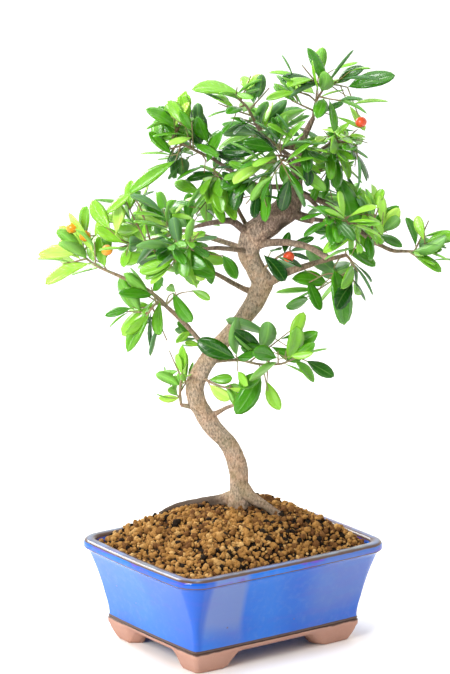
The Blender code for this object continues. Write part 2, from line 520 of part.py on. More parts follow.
def place_leaf(base, forward, turn, lean, length, name, limbs, growth, rng):
    """A leaf that leans out from a twig and faces the light, or None after too many tries.

    A try fails where the leaf would leave the space, touch a limb or cross a twig or a leaf,
    and the next one turns on round the twig and is a little shorter.
    """
    size = length * rng.uniform(*LEAF_RANGE)
    for attempt in range(TRIES):
        angle = turn + attempt * rng.uniform(*TURN_RANGE)
        tilt = lean * rng.uniform(*LEAN_RANGE)
        along = unit(forward * math.cos(tilt) + outward(forward, angle) * math.sin(tilt))
        light = LIGHT_UP * UP + LIGHT_OUT * unit(base - CROWN_MIDDLE)
        light = light + np.array([rng.gauss(0, LIGHT_STRAY) for axis in range(3)])
        face = unit(light - along * np.dot(light, along))
        points = leaf_points(base, along, face, size)
        if in_space(points, name) and limbs.clear(points) and growth.free(points):
            growth.add(points)
            return base, along, face, size
        size *= SHRINK
    return None


def set_leaf(foot, tip):
    """A leaf from its foot to its tip, turned to the light."""
    foot, tip = np.array(foot), np.array(tip)
    length = np.linalg.norm(tip - foot)
    along = (tip - foot) / length
    light = LIGHT_UP * UP + LIGHT_OUT * unit(foot - CROWN_MIDDLE) + FRONT_TILT
    return foot, along, unit(light - along * np.dot(light, along)), length


def place_twig(base, heading, length, lift, name, limbs):
    """A twig that bends up or down as it goes, cut short where it would leave the space."""
    spans = TWIG_POINTS - 1
    t = np.linspace(0, 1, spans * TWIG_TESTS + 1)[:, None]
    line = base + heading * length * t + UP * lift * TWIG_BEND * length * t ** 2
    for last in range(spans, 0, -1):
        tested = line[2:last * TWIG_TESTS + 1]
        if in_space(tested, name) and limbs.clear(tested):
            return line[:last * TWIG_TESTS + 1:TWIG_TESTS]
    return None


def to_the_wall(base, heading, mass):
    """How far it is along the heading to the wall of the mass's space, by a square root."""
    at, step = (base - mass.middle) / mass.half, heading / mass.half
    a, b, c = step @ step, at @ step, at @ at - 1
    return (math.sqrt(max(b * b - a * c, 0)) - b) / a


def grow(name, lines):
    """The twigs, leaves and fruit stalks of one mass, by a rule that its seed decides.

    Shoots leave the stem a golden angle apart and run towards the wall of the space. Leaves
    stand a golden angle apart along each, leaning forward more towards its end.
    """
    mass = MASSES[name]
    rng = random.Random(mass.seed)
    limbs = Limbs(lines, name)
    stem = lines[name][0][:, :3]
    twigs, leaves, stalks = outer_growth(mass)[:-1]
    ends = [(stem[-3:], 2)]
    for shoot in range(mass.shoots):
        share = between(SHOOT_PLACES, (shoot + 0.5) / mass.shoots)
        place = (len(stem) - 1) * share
        below = min(int(place), len(stem) - 2)
        base = stem[below] + (stem[below + 1] - stem[below]) * (place - below)
        forward = unit(stem[below + 1] - stem[below])
        turn = shoot * GOLDEN + rng.uniform(-SHOOT_STRAY, SHOOT_STRAY)
        out = outward(forward, turn)
        heading = unit(out + forward * rng.uniform(*SHOOT_FORWARD) + UP * mass.lift)
        reach = to_the_wall(base, heading, mass) - mass.leaf * rng.uniform(*SHOOT_SHORT)
        reach = max(reach, SHOOT_LEAST * mass.leaf)
        twig = place_twig(base, heading, reach, mass.lift, name, limbs)
        if twig is not None:
            twigs.append(twig)
            ends.append((twig, mass.leaves))
    others = [line[:, :3] for other in lines for line in lines[other] if other != name]
    growth = Growth([stem] + twigs + stalks + others)
    for leaf in leaves:
        growth.add(leaf_points(*leaf))
    for twig, count in ends:
        turn = rng.uniform(0, 2 * math.pi)
        for leaf in range(count + 1):
            place = (len(twig) - 1) * between(LEAF_PLACES, leaf / count)
            below = min(int(place), len(twig) - 2)
            base = twig[below] + (twig[below + 1] - twig[below]) * (place - below)
            forward = unit(twig[below + 1] - twig[below])
            lean = between(LEAF_LEAN, leaf / count)
            placed = place_leaf(base, forward, turn + leaf * GOLDEN, lean, mass.leaf,
                                name, limbs, growth, rng)
            if placed:
                leaves.append(placed)
    return twigs, leaves, stalks


# ---------------------------------------------------------------- making meshes
def material(name, colour, roughness, metallic=0.0):
    """A Principled material with the part's own colour and finish."""
    made = bpy.data.materials.new(name)
    made.use_nodes = True
    shader = made.node_tree.nodes["Principled BSDF"]
    shader.inputs["Base Color"].default_value = (*colour, 1)
    shader.inputs["Roughness"].default_value = roughness
    shader.inputs["Metallic"].default_value = metallic
    made.diffuse_color = (*colour, 1)
    return made


def collection(name):
    """A new collection in the scene."""
    made = bpy.data.collections.new(name)
    bpy.context.scene.collection.children.link(made)
    return made


def add(name, mesh, into, finish=None):
    """A new object of the mesh, in a collection, with its material."""
    made = bpy.data.objects.new(name, mesh)
    into.objects.link(made)
    if finish:
        mesh.materials.clear()
        mesh.materials.append(finish)
    return made


def drop(thing):
    """Removes an object and its data."""
    data = thing.data
    bpy.data.objects.remove(thing)
    if isinstance(data, bpy.types.Mesh):
        bpy.data.meshes.remove(data)
    elif isinstance(data, bpy.types.Curve):
        bpy.data.curves.remove(data)


def as_guide(thing):
    """Marks an object as a cutter or a guide."""
    thing.hide_render = True
    thing.display_type = "WIRE"


def tubes(lines, sides, into, profile=None):
    """Closed tubes along the lines of across, deep, up, radius, each its own mesh object.

    Each is a curve with filled caps, made a mesh and welded. Three-sided ones use the profile.
    """
    curves = []
    for name, rows in lines:
        curve = bpy.data.curves.new(name, "CURVE")
        curve.dimensions = "3D"
        curve.use_fill_caps = True
        if profile:
            curve.bevel_mode = "OBJECT"
            curve.bevel_object = profile
        else:
            curve.bevel_depth = 1
            curve.bevel_resolution = (sides - 4) // 2
        spline = curve.splines.new("POLY")
        spline.points.add(len(rows) - 1)
        for point, row in zip(spline.points, rows):
            point.co = (row[0], row[1], row[2], 1)
            point.radius = row[3]
        curves.append(add(name, curve, into))
    bpy.context.view_layer.update()
    graph = bpy.context.evaluated_depsgraph_get()
    made = []
    for curve in curves:
        mesh = bpy.data.meshes.new_from_object(curve.evaluated_get(graph))
        work = bmesh.new()
        work.from_mesh(mesh)
        bmesh.ops.remove_doubles(work, verts=work.verts, dist=WELD)
        bmesh.ops.recalc_face_normals(work, faces=work.faces)
        work.to_mesh(mesh)
        work.free()
        solid = add(curve.name + ".solid", mesh, into)
        solid.matrix_world = curve.matrix_world
        made.append(solid)
    for curve in curves:
        drop(curve)
    return made


def triangle_profile(into):
    """A closed triangle of radius one, to sweep three-sided twigs with."""
    curve = bpy.data.curves.new("triangle", "CURVE")
    spline = curve.splines.new("POLY")
    spline.points.add(2)
    spline.use_cyclic_u = True
    for corner, point in enumerate(spline.points):
        angle = math.tau * corner / 3
        point.co = (math.cos(angle), math.sin(angle), 0, 1)
    made = add("triangle", curve, into)
    as_guide(made)
    return made


def leaf_mesh():
    """A leaf one unit long: a flat ball of few sides, broadest past its middle."""
    mesh = bpy.data.meshes.new("leaf")
    work = bmesh.new()
    bmesh.ops.create_uvsphere(work, u_segments=LEAF_SIDES, v_segments=2, radius=1)
    for corner in work.verts:
        corner.co.x = ((corner.co.x + 1) / 2) ** LEAF_SHIFT
    work.to_mesh(mesh)
    work.free()
    return mesh


def leaf_place(base, along, face, length):
    """The matrix that sizes the unit leaf and sets its root in the middle of its twig."""
    across = np.cross(face, along)
    sizes = (length, LEAF_WIDTH * length / 2, LEAF_THICKNESS / 2)
    columns = [Vector(axis * size) for axis, size in zip((along, across, face), sizes)]
    return Matrix.Translation(Vector(base)) @ Matrix(columns).transposed().to_4x4()


def berry_mesh():
    """A berry: a small ball of few faces."""
    mesh = bpy.data.meshes.new("berry")
    work = bmesh.new()
    bmesh.ops.create_uvsphere(work, u_segments=BERRY_SIDES, v_segments=4, radius=BERRY_RADIUS)
    work.to_mesh(mesh)
    work.free()
    return mesh


def loft(name, rings, into, finish=None):
    """A closed body through rings of the same number of points, with flat ends."""
    work = bmesh.new()
    grid = [[work.verts.new(point) for point in ring] for ring in rings]
    count = len(grid[0])
    for lower, upper in zip(grid, grid[1:]):
        for here in range(count):
            there = (here + 1) % count
            work.faces.new((lower[here], lower[there], upper[there], upper[here]))
    work.faces.new(grid[0][::-1])
    work.faces.new(grid[-1])
    bmesh.ops.triangulate(work, faces=work.faces)
    bmesh.ops.recalc_face_normals(work, faces=work.faces)
    mesh = bpy.data.meshes.new(name)
    work.to_mesh(mesh)
    work.free()
    return add(name, mesh, into, finish)


def apply_modifiers(thing):
    """Replaces the object's mesh with its evaluated one."""
    bpy.context.view_layer.update()
    graph = bpy.context.evaluated_depsgraph_get()
    mesh = bpy.data.meshes.new_from_object(thing.evaluated_get(graph))
    thing.modifiers.clear()
    old = thing.data
    thing.data = mesh
    bpy.data.meshes.remove(old)


def boolean(thing, operation, operand=None, group=None, solver="EXACT"):
    """Joins or cuts the object by another one, or by a whole collection, and applies it."""
    cut = thing.modifiers.new(operation.lower(), "BOOLEAN")
    cut.operation = operation
    cut.solver = solver
    if group:
        cut.operand_type = "COLLECTION"
        cut.collection = group
    else:
        cut.object = operand
    apply_modifiers(thing)


def volume(faces):
    """Six times the volume that a closed set of faces holds; less than nothing for a hollow."""
    return sum(face.verts[0].co.dot(face.verts[k].co.cross(face.verts[k + 1].co))
               for face in faces for k in range(1, len(face.verts) - 1))


def keep_largest(thing):
    """Drops loose scraps and fills sealed hollows: only the shell of largest volume stays."""
    work = bmesh.new()
    work.from_mesh(thing.data)
    left = set(work.faces)
    shells = []
    while left:
        front = [left.pop()]
        shell = set(front)
        while front:
            near = {other for edge in front.pop().edges for other in edge.link_faces}
            fresh = near & left
            left -= fresh
            shell |= fresh
            front.extend(fresh)
        shells.append(shell)
    largest = max(shells, key=volume)
    rest = [face for face in work.faces if face not in largest]
    bmesh.ops.delete(work, geom=rest, context="FACES")
    work.to_mesh(thing.data)
    work.free()


# ---------------------------------------------------------------- the pot and the soil
def ring(offset, height):
    """A level rounded rectangle, so far out from the foot of the glazed wall, with bowed sides."""
    half = (POT_HALF_LENGTH - RIM_OVERHANG + offset, POT_HALF_WIDTH - RIM_OVERHANG + offset)
    radius = max(CORNER_RADIUS - RIM_OVERHANG + offset + CORNER_INNER_MORE, CORNER_LEAST)
    points = []
    for quarter in range(4):
        sign_x = (1, -1, -1, 1)[quarter]
        sign_y = (1, 1, -1, -1)[quarter]
        for step in range(CORNER_STEPS + 1):
            angle = math.pi / 2 * (quarter + step / CORNER_STEPS)
            points.append((sign_x * (half[0] - radius) + radius * math.cos(angle),
                           sign_y * (half[1] - radius) + radius * math.sin(angle), height))
        middle = ((0, half[1] + SIDE_BOW), (-half[0] - SIDE_BOW, 0),
                  (0, -half[1] - SIDE_BOW), (half[0] + SIDE_BOW, 0))[quarter]
        points.append((*middle, height))
    return points


def wall_offset(height):
    """How far the glazed wall has flared out at a height."""
    rise = RIM_HEIGHT - RIM_BAND_HEIGHT - UNDERCUT[1] - WALL_FOOT_HEIGHT
    share = max(height - WALL_FOOT_HEIGHT, 0) / rise
    return WALL_FLARE_REACH * share ** WALL_FLARE


def inner_offset(height):
    """Where the inside of the wall is at a height."""
    return wall_offset(height) - WALL_THICKNESS


def make_pot(parts, cutters, glaze):
    """The pot's body: a lofted outside and inside, with two drain holes in its floor."""
    lip = RIM_HEIGHT - RIM_BAND_HEIGHT
    top = lip - UNDERCUT[1]
    rows = [(-GAP, BASE_HEIGHT), (BASE_BAND_OUT, BASE_HEIGHT + BASE_BAND_CHAMFER),
            (BASE_BAND_OUT, WALL_FOOT_HEIGHT - GAP), (0.0, WALL_FOOT_HEIGHT + GAP)]
    for step in range(1, WALL_STEPS + 1):
        height = WALL_FOOT_HEIGHT + (top - WALL_FOOT_HEIGHT) * step / WALL_STEPS
        rows.append((wall_offset(height), height))
    rows += [(RIM_OVERHANG - UNDERCUT[0] / 5, lip - UNDERCUT[1] * 0.7), (RIM_OVERHANG, lip),
             (RIM_OVERHANG, RIM_HEIGHT - RIM_ROUND[1]),
             (RIM_OVERHANG - 0.4 * RIM_ROUND[0], RIM_HEIGHT - 0.3 * RIM_ROUND[1]),
             (RIM_OVERHANG - RIM_ROUND[0], RIM_HEIGHT),
             (RIM_OVERHANG - RIM_TOP_WIDTH + RIM_INNER_ROUND, RIM_HEIGHT),
             (RIM_OVERHANG - RIM_TOP_WIDTH, RIM_HEIGHT - RIM_INNER_ROUND)]
    for height in (*INNER_HEIGHTS, FLOOR_TOP):
        rows.append((inner_offset(height), height))
    pot = loft("pot", [ring(*row) for row in rows], parts, glaze)
    for side in (-1, 1):
        mesh = bpy.data.meshes.new("drain")
        work = bmesh.new()
        bmesh.ops.create_cone(work, cap_ends=True, segments=DRAIN_SIDES, radius1=DRAIN_RADIUS,
                              radius2=DRAIN_RADIUS, depth=2 * FLOOR_TOP)
        work.to_mesh(mesh)
        work.free()
        drain = add("drain", mesh, cutters)
        drain.location = (side * DRAIN_SPACING, 0, BASE_HEIGHT)
        boolean(pot, "DIFFERENCE", drain)
        drop(drain)
    return pot


def make_foot(number, sign_x, sign_y, parts, clay):
    """One bracket foot: an L in plan that tapers to its flat underside, lofted in three levels."""
    rings = []
    for share in FOOT_LEVELS:
        height = (BASE_HEIGHT - GAP) * share
        inset = FOOT_TAPER * (1 - share) ** FOOT_CURVE
        half_x = POT_HALF_LENGTH - RIM_OVERHANG - inset
        half_y = POT_HALF_WIDTH - RIM_OVERHANG - inset
        arm_x = FOOT_ARMS[0] + FOOT_SPREAD[0] * share
        arm_y = FOOT_ARMS[1] + FOOT_SPREAD[1] * share
        outline = [(half_x - arm_x, half_y), (half_x - arm_x, half_y - FOOT_THICKNESS + inset),
                   (half_x - FOOT_THICKNESS + inset, half_y - FOOT_THICKNESS + inset),
                   (half_x - FOOT_THICKNESS + inset, half_y - arm_y), (half_x, half_y - arm_y)]
        for step in range(CORNER_STEPS + 1):
            angle = math.pi / 2 * step / CORNER_STEPS
            outline.append((half_x - FOOT_CORNER * (1 - math.cos(angle)),
                            half_y - FOOT_CORNER * (1 - math.sin(angle))))
        rings.append([(sign_x * x, sign_y * y, height) for x, y in outline])
    return loft(f"foot_{number}", rings, parts, clay)


def even_ring(corners, count):
    """So many points at even distances round a closed ring of corners."""
    closed = np.array(list(corners) + [corners[0]], float)
    along = np.concatenate([[0], np.cumsum(np.linalg.norm(np.diff(closed, axis=0), axis=1))])
    places = np.linspace(0, along[-1], count, endpoint=False)
    return [tuple(np.interp(place, along, closed[:, axis]) for axis in range(3)) for place in places]


def soil_lump(x, y):
    """How far the soil is raised at a place: three ripples a lump apart that cross."""
    turns = math.tau / SOIL_LUMP_SPACING
    ripples = sum(math.sin(turns * (x * math.cos(angle) + y * math.sin(angle)) + angle)
                  for angle in SOIL_RIPPLES)
    return SOIL_LUMP * ripples / 2


def soil_rings(raised=0.0):
    """Rings of the soil: the inside of the pot, then the mound's slope to its flat top.

    The lumps fade out at the slope's foot and at its top.
    """
    levels = (FLOOR_TOP + GAP, *INNER_HEIGHTS[:0:-1], SOIL_EDGE_HEIGHT - SOIL_EDGE_DROP)
    outlines = [ring(inner_offset(height) - 1.2 * GAP, height + raised) for height in levels]
    outlines.append(ring(RIM_OVERHANG - RIM_TOP_WIDTH - SOIL_EDGE_INSET, SOIL_EDGE_HEIGHT + raised))
    rings = [even_ring(outline, SOIL_SIDES) for outline in outlines]
    edge = rings[-1]
    foot = tree_matrix() @ Vector(TRUNK[1][:3])
    rise = GROUND_HEIGHT - SOIL_EDGE_HEIGHT
    for step in range(1, MOUND_STEPS + 1):
        share = step / MOUND_STEPS
        height = SOIL_EDGE_HEIGHT + rise * (1 - (1 - share) ** MOUND_POWER)
        level = []
        for x, y, z in edge:
            angle = math.atan2(y - foot.y, x - foot.x)
            top_x = foot.x + MOUND_TOP_RADIUS * math.cos(angle)
            top_y = foot.y + MOUND_TOP_RADIUS * math.sin(angle)
            place = (x + (top_x - x) * share, y + (top_y - y) * share)
            lump = soil_lump(*place) * 4 * share * (1 - share)
            level.append((*place, height + lump + raised))
        rings.append(level)
    return rings


def tree_matrix():
    """The turn from the tree's axes to the pot's."""
    return Matrix.Rotation(TREE_TURN, 4, "Z")


# ---------------------------------------------------------------- the tree
def grown(rows, by):
    """A limb's rows, thicker and longer at both ends by so much."""
    more = np.array(rows, float)
    more[:, 3] += by
    more[0, :3] -= unit(more[1, :3] - more[0, :3]) * by
    more[-1, :3] += unit(more[-1, :3] - more[-2, :3]) * by
    return more


def make_trunk(line, parts, cutters, bark, soil_cutter):
    """The trunk with its surface roots, cut off flat and level with the soil."""
    trunk, = tubes([("trunk", line)], TRUNK_SIDES, parts)
    trunk.name = "trunk"
    trunk.data.materials.append(bark)
    paths = [(f"root_{n}", smooth(root, 2)) for n, root in enumerate(SURFACE_ROOTS)]
    roots = tubes(paths, BOUGH_SIDES, cutters)
    for root in roots:
        boolean(trunk, "UNION", root)
        drop(root)
    boolean(trunk, "DIFFERENCE", soil_cutter)
    keep_largest(trunk)
    return trunk


def make_mass(name, lines, parts, cutters, finish, tools):
    """One mass of foliage, joined into one closed body and cut clear of the limb it grows from."""
    profile, leaf, berry, sleeves = tools
    twigs, leaves, stalks = grow(name, lines)
    group = collection("growth")
    mass, = tubes([(name, lines[name][0])], 3, parts, profile)
    mass.name = name
    shoots = [(f"twig_{n}", np.column_stack([line, np.linspace(*TWIG_RADIUS, len(line))]))
              for n, line in enumerate(twigs + stalks)]
    tubes(shoots, 3, group, profile)
    for n, placed in enumerate(leaves):
        add(f"leaf_{n}", leaf, group).matrix_world = leaf_place(*placed)
    for n, centre in enumerate(MASSES[name].berries):
        add(f"berry_{n}", berry, group).location = centre
    bpy.context.view_layer.update()
    boolean(mass, "UNION", group=group, solver="MANIFOLD")
    for piece in list(group.objects):
        if piece.data in (leaf, berry):
            bpy.data.objects.remove(piece)
        else:
            drop(piece)
    bpy.data.collections.remove(group)
    beside = [other for other, bough in BOUGHS.items() if bough.path[0] == MASSES[name].stem[0]]
    for limb in [MASSES[name].parent] + beside:
        boolean(mass, "DIFFERENCE", sleeves[limb], solver="MANIFOLD")
    keep_largest(mass)
    mass.data.materials.clear()
    mass.data.materials.append(finish)
    return mass


def main():
    """Builds the pot, the soil and the tree."""
    for thing in list(bpy.data.objects):
        bpy.data.objects.remove(thing)
    parts = collection("pyracantha_bonsai")
    cutters = collection("cutters")
    glaze = material("blue_glaze", (0.05, 0.14, 0.62), 0.12)
    clay = material("terracotta", (0.52, 0.27, 0.19), 0.85)
    earth = material("akadama_soil", (0.30, 0.17, 0.06), 0.95)
    bark = material("bark", (0.25, 0.19, 0.14), 0.85)
    foliage = material("foliage", (0.07, 0.22, 0.03), 0.35)

    centre = bpy.data.objects.new("pot_centre", None)
    tree = bpy.data.objects.new("tree", None)
    for empty in (centre, tree):
        parts.objects.link(empty)
    centre.location = (*POT_CENTRE, 0)
    tree.parent = centre
    tree.rotation_euler = (0, 0, TREE_TURN)

    pot = make_pot(parts, cutters, glaze)
    pot.parent = centre
    for number, (sign_x, sign_y) in enumerate(((1, 1), (-1, 1), (-1, -1), (1, -1)), 1):
        make_foot(number, sign_x, sign_y, parts, clay).parent = centre
    loft("soil", soil_rings(), parts, earth).parent = centre

    soil_cutter = loft("soil_cutter", soil_rings(GAP), cutters)
    soil_cutter.matrix_world = tree_matrix().inverted()
    as_guide(soil_cutter)
    lines = limb_lines()
    profile = triangle_profile(cutters)
    limbs = ["trunk"] + list(BOUGHS)
    wide = [(name + "_sleeve", grown(lines[name][0], GAP)) for name in limbs]
    sleeves = dict(zip(limbs, tubes(wide, SLEEVE_SIDES, cutters)))
    for sleeve in sleeves.values():
        as_guide(sleeve)
    make_trunk(lines["trunk"][0], parts, cutters, bark, soil_cutter).parent = tree
    for name, bough in BOUGHS.items():
        limb, = tubes([(name, lines[name][0])], BOUGH_SIDES, parts)
        limb.name = name
        boolean(limb, "DIFFERENCE", sleeves[bough.parent])
        keep_largest(limb)
        limb.data.materials.append(bark)
        limb.parent = tree
    tools = (profile, leaf_mesh(), berry_mesh(), sleeves)
    for name in MASSES:
        make_mass(name, lines, parts, cutters, foliage, tools).parent = tree
    for guide in list(cutters.objects):
        drop(guide)
    bpy.data.collections.remove(cutters)


main()
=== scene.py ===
"""Looks of a pyracantha bonsai in a blue glazed pot, laid out as an add-on with a panel.

The CAD frame gives every place. The tree grows again from the same named sizes, rule and seeds as
its solids, and is carried on to finer twigs, real leaf outlines, bark relief, soil granules,
a glazed pot and ripe berries. Units are metres. The tree's own axes are across, deep and up.
"""

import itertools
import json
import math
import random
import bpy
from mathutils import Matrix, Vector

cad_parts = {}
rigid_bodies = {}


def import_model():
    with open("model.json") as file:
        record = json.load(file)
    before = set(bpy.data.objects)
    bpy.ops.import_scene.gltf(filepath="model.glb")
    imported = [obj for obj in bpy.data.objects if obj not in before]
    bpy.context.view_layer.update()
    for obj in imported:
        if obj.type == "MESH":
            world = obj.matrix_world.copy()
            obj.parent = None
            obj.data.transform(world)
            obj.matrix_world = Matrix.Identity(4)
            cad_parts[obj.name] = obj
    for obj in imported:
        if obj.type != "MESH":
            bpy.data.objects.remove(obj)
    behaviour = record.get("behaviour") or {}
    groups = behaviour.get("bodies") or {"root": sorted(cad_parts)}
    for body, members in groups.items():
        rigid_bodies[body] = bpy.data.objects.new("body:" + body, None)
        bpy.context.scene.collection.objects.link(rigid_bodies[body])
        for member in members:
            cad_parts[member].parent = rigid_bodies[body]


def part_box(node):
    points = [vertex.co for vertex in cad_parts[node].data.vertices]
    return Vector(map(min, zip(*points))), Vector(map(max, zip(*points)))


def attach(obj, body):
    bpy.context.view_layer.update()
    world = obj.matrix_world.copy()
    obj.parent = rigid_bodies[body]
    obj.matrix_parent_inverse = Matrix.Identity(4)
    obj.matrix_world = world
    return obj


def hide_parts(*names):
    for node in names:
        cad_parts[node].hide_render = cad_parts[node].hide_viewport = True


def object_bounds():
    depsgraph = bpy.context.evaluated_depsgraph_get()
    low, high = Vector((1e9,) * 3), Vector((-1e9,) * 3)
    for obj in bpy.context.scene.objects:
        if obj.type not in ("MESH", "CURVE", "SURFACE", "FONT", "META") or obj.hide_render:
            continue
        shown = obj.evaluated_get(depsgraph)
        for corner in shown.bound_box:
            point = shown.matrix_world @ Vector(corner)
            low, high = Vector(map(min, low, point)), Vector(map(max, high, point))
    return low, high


bl_info = {
    "name": "Pyracantha bonsai",
    "version": (1, 0, 0),
    "blender": (4, 5, 0),
    "location": "View3D > Sidebar > Bonsai",
    "description": "Leaves, bark, soil, berries and glazed pot of a small pyracantha",
    "category": "Object",
}

from typing import NamedTuple

import bpy
import numpy as np
from mathutils import Vector

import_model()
CAD_BOX = [list(corner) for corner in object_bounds()]
POT_CENTRE = sum(np.array(corner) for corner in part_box("pot")) / 2 * (1, 1, 0)
BODY = "root"

# ---- sizes shared with the solids, in metres

TREE_TURN = math.radians(-35.57)    # the tree's "across" axis, turned from the pot's long side

POT_HALF_LENGTH = 0.0775
POT_HALF_WIDTH = 0.06335
RIM_HEIGHT = 0.0654
RIM_OVERHANG = 0.0152               # from the foot of the glazed wall out to the rim
RIM_BAND_HEIGHT = 0.005
RIM_TOP_WIDTH = 0.0078
WALL_FOOT_HEIGHT = 0.014
WALL_THICKNESS = 0.0065
WALL_FLARE = 1.64                   # power of the wall's outward curve
WALL_FLARE_REACH = 0.0122
UNDERCUT = 0.0025                   # how far the wall's top is below the rim band
BASE_HEIGHT = 0.0093                # underside of the body, between the feet
BASE_BAND_OUT = 0.0008              # how far the unglazed band stands out
CORNER_RADIUS = 0.01
CORNER_INNER_MORE = 0.006           # what the wall's corner radius has over its offset's
CORNER_LEAST = 0.003
SIDE_BOW = 0.0012                   # how far the middle of a side stands out
FOOT_ARMS = (0.02, 0.015)           # length of a foot's two arms on the ground
FOOT_SPREAD = (0.014, 0.011)        # how much longer they are at the top
FOOT_THICKNESS = 0.011

SOIL_EDGE_HEIGHT = 0.0615
GROUND_HEIGHT = 0.0825              # flat top of the mound, where the trunk is cut
MOUND_TOP_RADIUS = 0.015
MOUND_POWER = 2.1
SOIL_LUMP = 0.0011                  # how far the soil's lumps stand out, and its dips sink
SOIL_LUMP_SPACING = 0.013
SOIL_RIPPLES = (0.35, 1.55, 2.65)   # directions of the ripples that cross to make the lumps
SOIL_EDGE_INSET = 0.0016

ROOT_SINK = 0.0016                  # how much of the last leaf's root is inside its twig
LEAF_WIDTH = 0.42                   # of a leaf's length
LEAF_SHIFT = 0.8                    # under one moves a leaf's broadest place towards its tip
BERRY_RADIUS = 0.0036
TWIG_RADIUS = (0.0008, 0.0005)
TWIG_POINTS = 3
TWIG_TESTS = 4                      # places tested on each of a twig's spans
STEM_RADIUS = (0.001, 0.0006)
STEM_STEPS = 2
CLEARANCE = 0.0009                  # of a leaf or twig from a limb
SPACE_MARGIN = 0.03                 # share of a space's size left between two spaces
TRIES = 9                           # turns tried before a leaf is skipped
BEND = 0.12                         # how far a twig to an outer leaf sags or arches
SHRINK = 0.96                       # of a leaf's length, from one try to the next
LEAF_RANGE = (0.7, 1.3)             # shortest and longest, of the mass's own leaf length
LEAF_PLACES = (0.25, 0.93)          # of a twig's length, its first leaf's place and its last's
LEAF_LEAN = (1.15, 0.3)             # of the first and the last leaf, from the twig
LEAN_RANGE = (0.75, 1.2)
TURN_RANGE = (0.5, 1.1)             # from one try to the next
SHOOT_PLACES = (0.1, 1.0)           # of the stem's length, where its shoots stand
SHOOT_STRAY = 0.5                   # of a shoot's turn round the stem
SHOOT_FORWARD = (0.1, 0.7)
SHOOT_SHORT = (0.2, 0.6)            # leaf lengths that a shoot stops short of its space's wall
SHOOT_LEAST = 0.25                  # leaf lengths in the shortest shoot
TWIG_BEND = 0.3
CROWN_MIDDLE = np.array((0.02, 0.01, 0.24))
FRONT_TILT = np.array((0.0, -0.7, 0.0))     # turns the outermost leaves a little to the front
LIGHT_UP = 0.7                      # how much a leaf faces up, outwards and any way
LIGHT_OUT = 0.6
LIGHT_STRAY = 0.4
GOLDEN = math.radians(137.5)
UP = np.array((0.0, 0.0, 1.0))
SIDE_NUDGE = np.array((0.001, 0, 0))    # gives an upright twig a side too
BLADE_TESTS = ((0.0, 0.2), (0.4, 1.0), (1.0, 0.6))  # places on an outer leaf, its half width there
TINY = 1e-15                        # keeps a line that runs level with a face from dividing by 0

# trunk: across, deep, up, radius, from below the ground line to the tip
TRUNK = (
    (0.0045, 0.014, 0.076, 0.0088), (0.0042, 0.014, 0.085, 0.0072),
    (0.004, 0.014, 0.093, 0.0058), (0.0034, 0.014, 0.107, 0.0057),
    (-0.0018, 0.013, 0.1212, 0.0056), (-0.0122, 0.012, 0.134, 0.0055),
    (-0.0206, 0.011, 0.1475, 0.0055), (-0.0238, 0.01, 0.159, 0.0055),
    (-0.0209, 0.009, 0.169, 0.0054), (-0.0117, 0.009, 0.1837, 0.0051),
    (0.0028, 0.011, 0.1995, 0.0052), (0.014, 0.012, 0.215, 0.0057),
    (0.0177, 0.012, 0.226, 0.0058), (0.0138, 0.011, 0.2355, 0.0058),
    (0.0095, 0.01, 0.246, 0.0063), (0.0125, 0.009, 0.256, 0.0071),
    (0.0222, 0.008, 0.265, 0.0079), (0.0318, 0.009, 0.2728, 0.0079),
    (0.036, 0.01, 0.2815, 0.0068), (0.038, 0.01, 0.2915, 0.0045),
    (0.0418, 0.01, 0.3045, 0.0028), (0.0418, 0.01, 0.314, 0.0021),
    (0.0488, 0.008, 0.33, 0.0013),
)
# roots that run over the mound: across, deep, up, radius
SURFACE_ROOTS = (
    ((0.005, 0.013, 0.0965, 0.0046), (0.012, 0.009, 0.0893, 0.0037),
     (0.021, 0.004, 0.085, 0.0026), (0.03, -0.002, 0.0795, 0.002),
     (0.036, -0.006, 0.073, 0.0014)),
    ((0.004, 0.015, 0.089, 0.0045), (-0.008, 0.02, 0.084, 0.0036),
     (-0.022, 0.027, 0.08, 0.0032), (-0.036, 0.033, 0.0755, 0.0026),
     (-0.046, 0.036, 0.07, 0.0018)),
    ((0.004, 0.015, 0.089, 0.0042), (0.01, 0.024, 0.0845, 0.0032),
     (0.016, 0.033, 0.079, 0.0024), (0.02, 0.04, 0.072, 0.0016)),
)


class Bough(NamedTuple):
    """One tapering limb: what it grows from, its radius at both ends, and its path."""
    parent: str
    radii: tuple
    path: tuple


class Mass(NamedTuple):
    """One mass of foliage: its stem's path, the middle and the half sizes of the egg-shaped
    space it keeps to, how its twigs and leaves grow, and the foot and tip of each leaf that
    stands out from the crown."""
    stem: tuple
    middle: tuple
    half: tuple
    shoots: int
    leaves: int
    leaf: float
    lift: float
    seed: int
    tips: tuple = ()
    berries: tuple = ()


